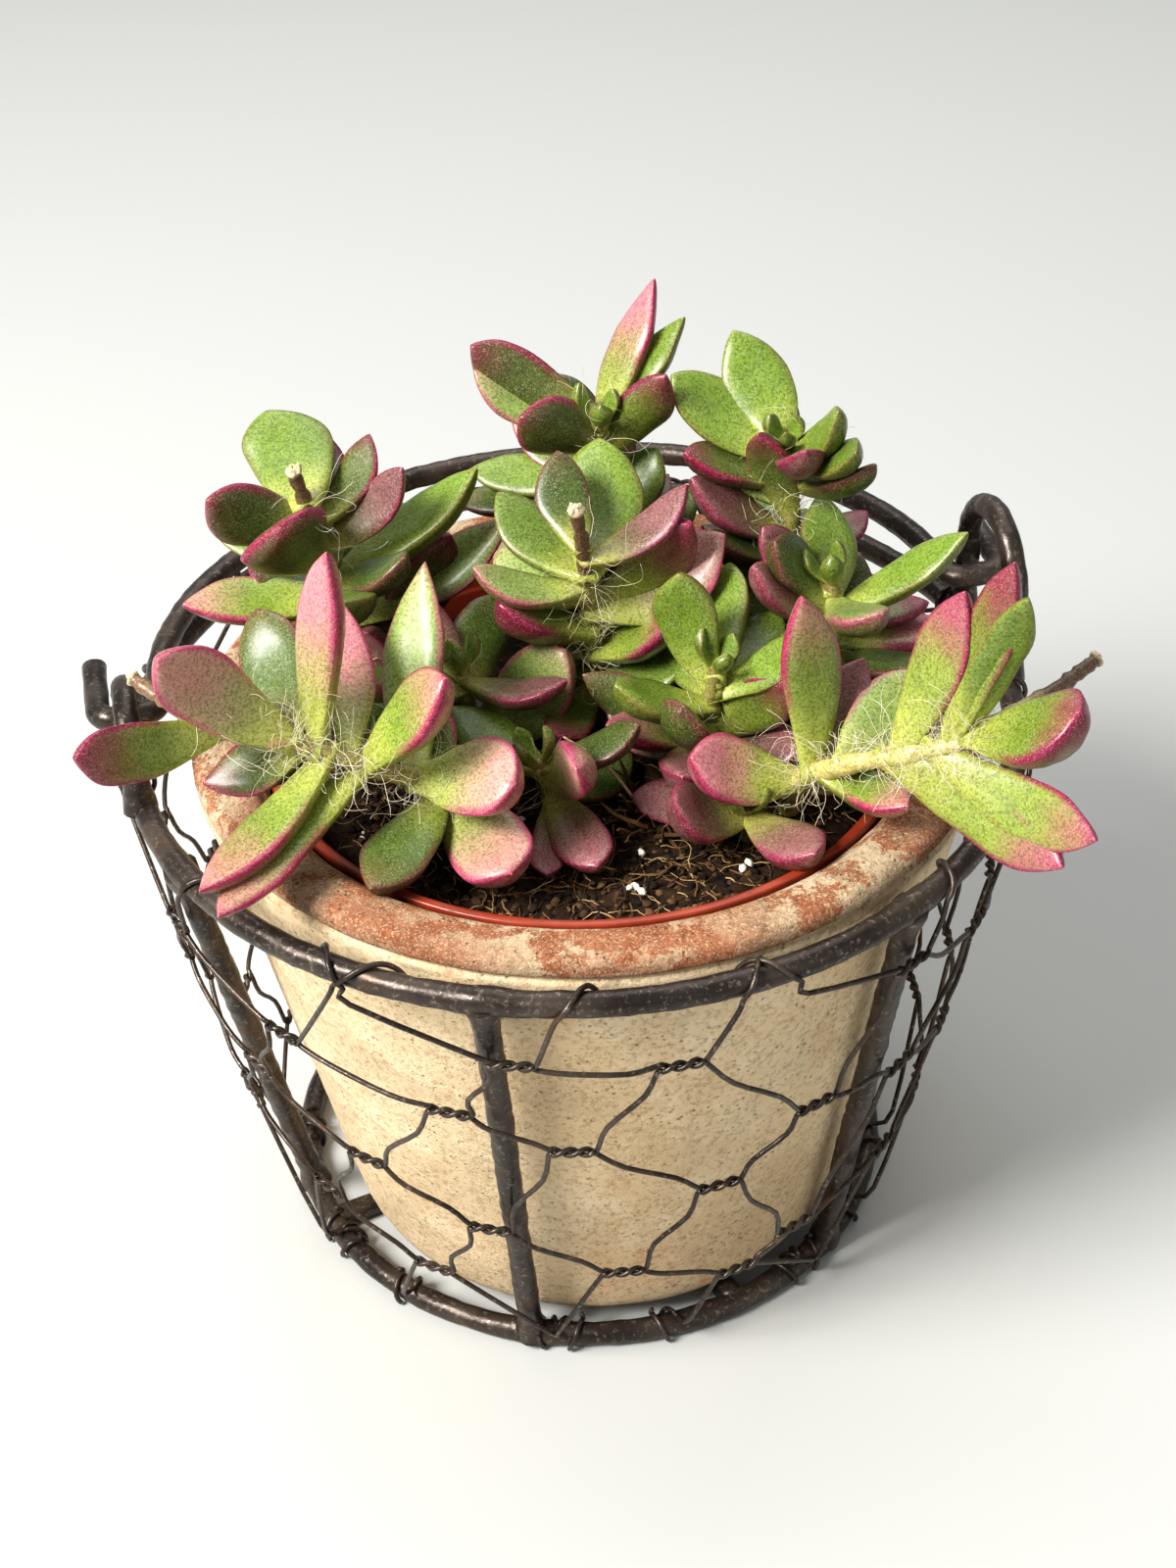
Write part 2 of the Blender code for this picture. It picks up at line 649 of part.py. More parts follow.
class Net:
    """The netting, drawn as one skin: square wires that leave the ends of flat twists."""

    def __init__(self):
        self.bm = bmesh.new()
        self.places = twist_places()
        self.faces = {place: self.twist(*spot) for place, spot in self.places.items()}

    def twist(self, degrees, slope_mm):
        """A bar as tall as two wires. Each end keeps the four corners of its upper and lower wire."""
        turn = math.degrees(TWIST_HALF / on_net(degrees, slope_mm).xy.length)
        ends = {}
        for side in (-1, 1):
            at = degrees + side * turn
            out = net_out(at) * WIRE_HALF
            levels = [
                on_net(at, slope_mm + 2 * WIRE_HALF * level) for level in (-1, 0, 1)
            ]
            ends[side] = [(self.bm.verts.new(p - out), self.bm.verts.new(p + out)) for p in levels]
        for level in (0, 1):
            for deep in (0, 1):
                self.bm.faces.new(
                    (
                        ends[-1][level][deep],
                        ends[1][level][deep],
                        ends[1][level + 1][deep],
                        ends[-1][level + 1][deep],
                    )
                )
        for level in (0, 2):
            self.bm.faces.new((ends[-1][level][0], ends[-1][level][1], ends[1][level][1], ends[1][level][0]))
        made = {}
        for side, levels in ends.items():
            for name, low in (("low", 0), ("high", 1)):
                under, over = levels[low], levels[low + 1]
                made[side, name] = (under[0], under[1], over[1], over[0])
        return made

    def find(self, i, j):
        for place in same_place(i, j):
            if place in self.places:
                return place
        return None

    def bridge(self, first, second):
        for k in range(4):
            after = (k + 1) % 4
            self.bm.faces.new((first[k], first[after], second[after], second[k]))

    def square(self, point, ahead, out, sign):
        """Four corners of the wire round a point of its path."""
        out = (out - ahead * out.dot(ahead)).normalized()
        rise = sign * out.cross(ahead)
        out, rise = out * WIRE_HALF, rise * WIRE_HALF
        corners = (point - out - rise, point + out - rise, point + out + rise, point - out + rise)
        return [self.bm.verts.new(corner) for corner in corners]

    def strand(self, start, finish, first, last):
        """One wire between two twists, with a corner halfway so that it follows the round wall."""
        turns = round((finish[0] - start[0]) / 360)
        far = finish[0] - 360 * turns
        middle = ((start[0] + far) / 2, (start[1] + finish[1]) / 2)
        ahead = on_net(far, finish[1]) - on_net(*start)
        corners = self.square(on_net(*middle), ahead.normalized(), net_out(middle[0]), 1)
        self.bridge(first, corners)
        self.bridge(corners, last)

    def hook(self, start, first, sign, top, degrees):
        """A wire that runs to a ring and bends over it from outside."""
        ring, height = (TOP_RING, TOP_RING_Z) if top else (BASE_RING, BASE_RING_Z)
        begin = -10.0 if top else 75.0
        path = []
        for step in range(HOOK_STEPS + 1):
            share = step / HOOK_STEPS
            turn = math.radians(begin + share * (HOOK_ROUND - begin))
            at = degrees + sign * share * 2.0
            centre = on_rod_ring(ring, height, at)
            path.append(centre + on_ring(HOOK_OFF * math.cos(turn), 0, at) + UP * HOOK_OFF * math.sin(turn))
        path.insert(0, on_net(degrees, path_slope(top)))
        before = first
        for k, point in enumerate(path):
            ahead = (path[min(k + 1, len(path) - 1)] - (path[k - 1] if k else on_net(*start))).normalized()
            if k == 0:
                out = net_out(degrees)
            else:
                out = point - on_ring(ring, height, math.degrees(math.atan2(point.y, point.x)))
            after = self.square(point, ahead, out, sign)
            self.bridge(before, after)
            before = after
        self.bm.faces.new(before)

    def make(self, steel):
        for place, spot in self.places.items():
            faces = self.faces[place]
            for name, step, reach in (("high", (0, 1), NET_UP), ("low", (1, 0), NET_ACROSS)):
                other = self.find(place[0] + step[0], place[1] + step[1])
                if other:
                    back = "low" if name == "high" else "high"
                    self.strand(spot, self.places[other], faces[1, name], self.faces[other][-1, back])
                else:
                    self.end(spot, faces[1, name], 1, reach)
            for name, step, reach in (("high", (-1, 0), NET_ACROSS), ("low", (0, -1), NET_UP)):
                if not self.find(place[0] + step[0], place[1] + step[1]):
                    self.end(spot, faces[-1, name], -1, (-reach[0], -reach[1]))
        return object_of("wire_netting", self.bm, steel)

    def end(self, spot, first, sign, reach):
        top = reach[1] > 0
        run = abs((path_slope(top) - spot[1]) / reach[1])
        degrees = clear_of_rods(spot[0] + min(run, 1.0) * reach[0], top)
        self.hook(spot, first, sign, top, degrees)


def path_slope(top):
    """How far up the slope a wire leaves the wall to bend over a ring."""
    lean = math.atan2(TOP_RING - BASE_RING, TOP_RING_Z - BASE_RING_Z)
    return (TOP_RING_Z - BASE_RING_Z) / math.cos(lean) - 3.0 if top else 6.0


def rods_at(top):
    """The directions in which other rods meet a ring, which the net's hooks stay clear of."""
    if not top:
        return [base for _, base in UPRIGHT_ENDS] + [at + half for at in CROSS_AT for half in (0, 180)]
    found = []
    for eye in EYES.values():
        for back in (-EYE_HALF, HINGE_BACK, EYE_HALF):
            spot = on_ring(TOP_RING, 0, eye.degrees) + hinge_back() * back
            found.append(math.degrees(math.atan2(spot.y, spot.x)))
    return found


def clear_of_rods(degrees, top):
    """Moves a hook aside from the rods that meet its ring."""
    aside = math.degrees(HOOK_ASIDE / (TOP_RING if top else BASE_RING))
    for _ in range(3):
        for at in rods_at(top):
            away = (degrees - at + 180) % 360 - 180
            if abs(away) < aside:
                degrees += math.copysign(aside, away) - away
    return degrees


def make_terracotta_pot(clay):
    """A plain tapered pot with a thick rounded rim and a drain hole."""
    top = POT_TOP_Z
    floor = POT_FOOT_Z + POT_FLOOR
    profile = [
        (DRAIN, POT_FOOT_Z),
        (POT_FOOT - 1.2, POT_FOOT_Z),
        (POT_FOOT, POT_FOOT_Z + 1.2),
        (POT_RIM - 0.6, top - 5.0),
        (POT_RIM, top - 1.6),
        (POT_RIM - 1.6, top),
        (RIM_IN + 2.0, top - 0.8),
        (RIM_IN, top - 2.8),
        (RIM_IN - 0.4, top - 14.0),
        (POT_FOOT - 5.0, floor + 3.0),
        (POT_FOOT - 8.0, floor),
        (DRAIN, floor),
    ]
    bm = bmesh.new()
    turned(bm, profile, POT_STEPS, POT_AXIS)
    set_origin(object_of("terracotta_pot", bm, clay), POT_AXIS + UP * POT_FOOT_Z)


def inner_floor():
    return POT_FOOT_Z + POT_FLOOR + GAP


def make_nursery_pot(plastic):
    """A thin pot with a turned lip and holes in its floor, standing inside the terracotta pot."""
    low = inner_floor()
    top = INNER_LIP_Z
    wall = INNER_WALL
    collar = top - 8.0
    profile = [
        (0, low),
        (INNER_FOOT, low),
        (INNER_LIP - 3.6, collar),
        (INNER_LIP - 0.9, collar),
        (INNER_LIP, top),
        (INNER_LIP - 1.6, top),
        (INNER_LIP - 2.4, collar + 1.2),
        (INNER_LIP - 3.6 - wall, collar + 0.8),
        (INNER_FOOT - wall, low + wall),
        (0, low + wall),
    ]
    bm = bmesh.new()
    turned(bm, profile, POT_STEPS, POT_AXIS)
    pot = object_of("nursery_pot", bm, plastic)
    holes = []
    for number in range(INNER_HOLES):
        at = POT_AXIS + on_ring(INNER_FOOT * 0.62, 0, number * 360 / INNER_HOLES)
        holes.append(peg(at + UP * (low - 2), at + UP * (low + 3), 3.2, plastic))
    cut(pot, holes)
    set_origin(pot, POT_AXIS + UP * low)


def peg(low, high, radius, finish):
    bm = bmesh.new()
    loft(bm, tube_rings([low, high], lambda share: radius, ROD_SIDES))
    return object_of("peg", bm, finish)


def make_soil(earth, stems):
    """The soil that fills the nursery pot, lumpy on top, with a plain hole for each stem."""
    draw = random.Random(7)
    low = inner_floor() + INNER_WALL + GAP
    rise = (INNER_LIP - 3.6 - INNER_FOOT) / (INNER_LIP_Z - 8.0 - inner_floor())
    foot = INNER_FOOT - INNER_WALL - GAP
    brim = foot + rise * (SOIL_Z - 2.5 - low) - 0.4
    bm = bmesh.new()
    profile = [(0, low), (foot, low), (brim, SOIL_Z - 2.5), (brim - 1.0, SOIL_Z - 1.2)]
    profile += [(brim * share, SOIL_Z) for share in (0.8, 0.55, 0.3)] + [(0, SOIL_Z)]
    turned(bm, profile, POT_STEPS // 2, POT_AXIS)
    for vert in bm.verts:
        if vert.co.z > SOIL_Z - 0.5:
            vert.co.z += draw.uniform(-SOIL_LUMP, SOIL_LUMP)
    soil = object_of("soil", bm, earth)
    for path in stems:
        low_part = [point for point in path if point.z < SOIL_Z + 8]
        deep = path[0] - (path[1] - path[0]).normalized() * HOLE_CLEAR
        bm = bmesh.new()
        loft(bm, tube_rings([deep, *low_part], lambda share: STEM + HOLE_CLEAR, STEM_SIDES + 1))
        cut(soil, [object_of("hole", bm, earth)])
    set_origin(soil, POT_AXIS + UP * low)


def leaf_half_width(share):
    """Half width of a leaf along its length, as a share of its widest."""
    widest = 0.58
    if share < widest:
        return 0.36 + 0.64 * math.sin(0.5 * math.pi * share / widest)
    return math.sqrt(max(0.0, 1 - ((share - widest) / (1 - widest)) ** 2.4))


def leaf_rings(root, tip, wide, facing):
    """Rings of a fleshy leaf, bowed back in its middle, flat above and keeled below."""
    run = tip - root
    length = run.length
    ahead = run / length
    facing = (facing - ahead * facing.dot(ahead)).normalized()
    side = ahead.cross(facing)
    rings = []
    for share in LEAF_RINGS:
        middle = root + run * share - facing * LEAF_BOW * length * 4 * share * (1 - share)
        half = leaf_half_width(share) * wide / 2
        thick = half * 2 * LEAF_THICK
        rings.append([middle + side * half * x + facing * thick * y for x, y in LEAF_SECTION])
    rings.append([tip + (point - middle) * LEAF_POINT for point in rings[-1]])
    return rings


def leaf_object(root, tip, wide, facing, finish):
    bm = bmesh.new()
    loft(bm, leaf_rings(root, tip, wide, facing))
    return object_of("leaf", bm, finish)


def stem_path(shoot):
    return smooth_path([at_height(spot[:2], spot[2]) for spot in shoot.stem], 2)


def nearest_on_stem(path, spot):
    """The stem's point that lies closest to the sight line, and the stem's direction there."""
    line = sight(spot)
    best = None
    for a, b in zip(path, path[1:]):
        for step in range(5):
            point = a.lerp(b, step / 4)
            off = (point - LENS).cross(line).length
            if best is None or off < best[0]:
                best = (off, point, (b - a).normalized())
    return best[1], best[2]


def leaf_ends(path, leaf):
    """Root on the stem, and tip on its sight line at the leaf's length from the root."""
    root, grows = nearest_on_stem(path, leaf.root)
    line = sight(leaf.tip)
    along = (root - LENS).dot(line)
    off = (root - LENS - line * along).length
    deep = math.sqrt(max(0.0, leaf.long**2 - off**2))
    return root, LENS + line * (along + leaf.side * deep), grows


def leaf_facing(root, tip, grows, turn, to_light=0.0):
    """The upper face of a leaf looks along the stem's growth and up, and somewhat to the light in front."""
    ahead = (tip - root).normalized()
    facing = grows + UP * 0.5 + (LENS - root).normalized() * to_light
    facing = (facing - ahead * facing.dot(ahead)).normalized()
    return Matrix.Rotation(math.radians(turn), 3, ahead) @ facing


class Crowd:
    """Balls along every leaf and stem so far, which show where another leaf has room."""

    def __init__(self):
        self.balls = []

    def leaf_balls(self, root, tip, wide):
        return [(root.lerp(tip, share), 0.42 * wide * leaf_half_width(share)) for share in (0.35, 0.6, 0.8, 0.95)]

    def add(self, owner, balls):
        self.balls += [(owner, point, radius) for point, radius in balls]

    def has_room(self, owner, balls):
        for point, radius in balls:
            if not in_reach(point, radius):
                return False
            for other, spot, wide in self.balls:
                need = (radius + wide) * 0.75 if other == owner else radius + wide + LEAF_ROOM
                if (point - spot).length < need:
                    return False
        return True


def in_reach(point, radius):
    """Above the soil, inside the rim or over it, and inside the bail's sweep."""
    if point.z < SOIL_Z + SOIL_LUMP + radius * 0.8:
        return False
    off_axis = (point - POT_AXIS).xy.length
    if point.z < POT_TOP_Z + 1 + radius and off_axis > RIM_IN - 3 - radius:
        return False
    middle, along, half = hinge()
    across = (point - middle).dot(along)
    away = (point - middle - along * across).length
    spare = ROD + radius + 2.0
    inner = half - ARM_CLEAR - spare
    return (across / inner) ** 2 + (away / (TOP_RING - spare - 2)) ** 2 < 1 and point.y > FRONT_SOIL


def hidden_leaves(crowd, owner, path, count):
    """Leaves low on the stem and behind it, each a golden turn from the last, where there is room."""
    draw = random.Random(owner)
    above = [point for point in path if point.z > SOIL_Z + 3]
    made = []
    for number in range(HIDDEN_TRIES):
        if len(made) == count:
            break
        place = draw.uniform(0.0, 0.8) * (len(above) - 1)
        k = min(int(place), len(above) - 2)
        root = above[k].lerp(above[k + 1], place - k)
        grows = (above[k + 1] - above[k]).normalized()
        heading = math.radians(number * GOLDEN_TURN)
        rise = math.radians(draw.uniform(8, 40))
        level = math.cos(rise)
        ahead = Vector((math.cos(heading) * level, math.sin(heading) * level, math.sin(rise)))
        tip = root + ahead * HIDDEN_LONG * draw.uniform(0.85, 1.15)
        wide = HIDDEN_WIDE * draw.uniform(0.9, 1.2)
        balls = crowd.leaf_balls(root, tip, wide)
        if crowd.has_room(owner, balls):
            crowd.add(owner, balls)
            made.append((root, tip, wide, leaf_facing(root, tip, grows, 0)))
    return made


def plan_leaves():
    """The path of every stem, and root, tip, width and facing of every leaf on it."""
    crowd = Crowd()
    plan = {}
    for name, shoot in SHOOTS.items():
        path = stem_path(shoot)
        crowd.add(name, [(point, STEM) for point in path])
        leaves = []
        for leaf in shoot.leaves:
            root, tip, grows = leaf_ends(path, leaf)
            leaves.append((root, tip, leaf.wide, leaf_facing(root, tip, grows, leaf.turn, FACE_LIGHT)))
            crowd.add(name, crowd.leaf_balls(root, tip, leaf.wide))
        plan[name] = (path, leaves)
    for name, (path, leaves) in plan.items():
        leaves += hidden_leaves(crowd, name, path, SHOOTS[name].hidden)
    return plan


def make_shoot(name, path, leaves, flesh):
    bm = bmesh.new()
    loft(bm, tube_rings(path, lambda share: STEM * (1.0 - 0.3 * share), STEM_SIDES))
    stem = object_of(name, bm, flesh)
    fused(stem, [leaf_object(*leaf, flesh) for leaf in leaves])
    set_origin(stem, path[0])


def main():
    clear_scene()
    steel = material("dark_steel", (0.09, 0.08, 0.08), 0.45, 0.9)
    clay = material("terracotta", (0.55, 0.42, 0.31), 0.9)
    plastic = material("pot_plastic", (0.30, 0.07, 0.03), 0.35)
    earth = material("soil", (0.06, 0.045, 0.03), 0.95)
    flesh = material("leaf", (0.28, 0.36, 0.10), 0.4)
    make_rings(steel)
    make_uprights(steel)
    make_cross(steel)
    make_eyes(steel)
    make_bail(steel)
    Net().make(steel)
    make_terracotta_pot(clay)
    make_nursery_pot(plastic)
    plan = plan_leaves()
    for name, (path, leaves) in plan.items():
        make_shoot(name, path, leaves, flesh)
    make_soil(earth, [path for path, _ in plan.values()])


main()
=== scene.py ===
"""The looks of a potted crassula: leaves, hairs, soil, pots, and a basket of rod and twisted wire.

Shapes are worked out in millimetres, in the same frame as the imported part, and made in metres.
"""

import math
import random
from collections import namedtuple

import bpy
import numpy as np
from mathutils import Matrix, Vector, noise


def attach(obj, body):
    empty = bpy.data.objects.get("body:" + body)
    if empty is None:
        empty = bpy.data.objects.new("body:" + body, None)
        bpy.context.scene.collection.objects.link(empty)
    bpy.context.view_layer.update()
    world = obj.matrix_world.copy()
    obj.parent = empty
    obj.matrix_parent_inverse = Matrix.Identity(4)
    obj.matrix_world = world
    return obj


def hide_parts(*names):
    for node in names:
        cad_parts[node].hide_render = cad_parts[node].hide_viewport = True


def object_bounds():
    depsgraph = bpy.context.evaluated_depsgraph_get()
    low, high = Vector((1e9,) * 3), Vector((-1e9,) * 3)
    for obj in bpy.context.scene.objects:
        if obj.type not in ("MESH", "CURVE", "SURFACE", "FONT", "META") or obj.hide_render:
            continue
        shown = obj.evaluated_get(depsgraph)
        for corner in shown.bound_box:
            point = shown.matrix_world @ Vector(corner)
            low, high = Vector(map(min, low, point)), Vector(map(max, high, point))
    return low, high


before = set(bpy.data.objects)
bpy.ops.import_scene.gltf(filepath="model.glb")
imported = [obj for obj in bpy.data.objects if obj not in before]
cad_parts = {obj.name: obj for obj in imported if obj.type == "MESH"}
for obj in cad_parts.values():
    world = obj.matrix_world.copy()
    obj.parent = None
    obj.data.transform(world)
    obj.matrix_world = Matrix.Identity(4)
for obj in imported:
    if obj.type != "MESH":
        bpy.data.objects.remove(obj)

CAD_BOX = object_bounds()
MM = 0.001
UP = Vector((0, 0, 1))
BODY = "planter"
HANDLE = "handle"

# Basket of welded rod
ROD = 2.0
TOP_RING = 71.5
TOP_RING_Z = 95.4
BASE_RING = 52.2
BASE_RING_Z = 2.0
UPRIGHT_ENDS = ((-101.2, -101.7), (-47.3, -38.1), (-147.5, -163.7), (19.0, 24.0), (79.0, 80.0), (139.0, 136.0))
CROSS_AT = (28.0, 118.0)

# Eyes and bail
Eye = namedtuple("Eye", "degrees top_z hinge_z")
EYES = {"right": Eye(13.0, 120.5, 106.0), "left": Eye(190.0, 108.6, 101.8)}
EYE_HALF = 11.0
HINGE_BACK = 5.0
ARM_CLEAR = 4.8
HOOK_BEND = 3.0
HOOK_END = 16.0
BAIL_REST_Z = 102.6

# Netting
WIRE_HALF = 0.43
NET_OFF = 3.2
HOOK_OFF = 2.6
TWIST_HALF = 3.7
NET_ACROSS = (19.15, -7.2)
NET_UP = (12.12, 18.0)
NET_ROUND = (15, 6)
NET_LOW = 14.0
NET_HIGH = 88.0
NET_SPREAD = 1.1
NET_HOLD = 0.25
HOOK_ASIDE = 4.4

# Pots and soil
POT_AXIS = Vector((1.7, -4.4, 0))
POT_FOOT_Z = 4.3
POT_TOP_Z = 99.9
POT_FOOT = 44.7
POT_RIM = 63.5
RIM_IN = 53.0
DRAIN = 6.0
INNER_LIP = 52.1
INNER_LIP_Z = 97.0
INNER_LOW = 10.6
INNER_FOOT = 36.5
INNER_WALL = 0.9
SOIL_Z = 91.5
SOIL_LUMP = 0.9
SOIL_BRIM = 46.7

# Stems and leaves
STEM = 1.7
LEAF_BOW = 0.09
LEAF_THICK = 0.5
FACE_LIGHT = 1.4
FACE_LENS = 9.0
TURNED_WIDE = 0.6
ROOT_DEPTH = 9.0
HIDDEN_LONG = 18.0
HIDDEN_WIDE = 8.0
GOLDEN_TURN = 137.5
HIDDEN_TRIES = 60
FILLER_TRIES = 900
LEAF_ROOM = 0.8
FRONT_SOIL = -27.0

# The lens of the reference picture
LENS = Vector((1.74, -315.14, 318.58))
LENS_DOWN = math.radians(37.14)
LENS_ROLL = math.radians(-1.68)
LENS_LONG = 2400.0
PICTURE_MIDDLE = (600.0, 800.0)
PICTURE_LONG = 1600
SENSOR = 36.0

SEEN_TWISTS = {
    (0, 0): (697, 1087),
    (-1, 0): (522, 1088),
    (1, 0): (834, 1126),
    (0, 1): (808, 1010),
    (0, -1): (585, 1176),
    (1, -1): (735, 1209),
    (1, -2): (637, 1298),
    (-1, -1): (459, 1136),
    (0, -2): (501, 1255),
    (2, -1): (811, 1250),
    (-2, 0): (307, 1007),
}

NEAR, FAR = -1, 1
Look = namedtuple("Look", "flesh blush margin start soft strength")
LOOKS = {  # colours of a leaf's middle, tip and margin; where the tip's colour starts and how softly
    "green": Look((118, 144, 48), (146, 158, 66), (140, 96, 62), 0.88, 0.25, 0.35),
    "dark": Look((84, 106, 38), (112, 88, 52), (120, 40, 58), 0.68, 0.45, 0.6),
    "greenpink": Look((132, 154, 54), (206, 136, 134), (172, 34, 92), 0.48, 0.55, 0.95),
    "magenta": Look((120, 140, 46), (150, 46, 84), (138, 16, 70), 0.46, 0.5, 1.0),
    "pink": Look((142, 156, 64), (206, 124, 140), (168, 32, 90), 0.24, 0.55, 0.95),
    "blush": Look((140, 156, 78), (204, 148, 142), (184, 58, 108), 0.16, 0.66, 0.9),
    "olive": Look((92, 106, 40), (124, 42, 62), (150, 22, 74), 0.66, 0.4, 1.0),
    "mauve": Look((114, 104, 64), (152, 96, 102), (148, 42, 82), 0.18, 0.6, 0.85),
    "yellow": Look((142, 158, 66), (174, 78, 108), (158, 28, 86), 0.54, 0.45, 0.95),
    "pale": Look((144, 164, 86), (188, 152, 128), (176, 80, 108), 0.72, 0.45, 0.8),
}
# One leaf: the picture points of its root and tip, its length, width and side, as in the part; its look,
# how far it is turned about its own length, and how pointed its tip is
Leaf = namedtuple("Leaf", "root tip long wide side look turn point", defaults=(0, 0.5))
Shoot = namedtuple("Shoot", "stem leaves hidden")

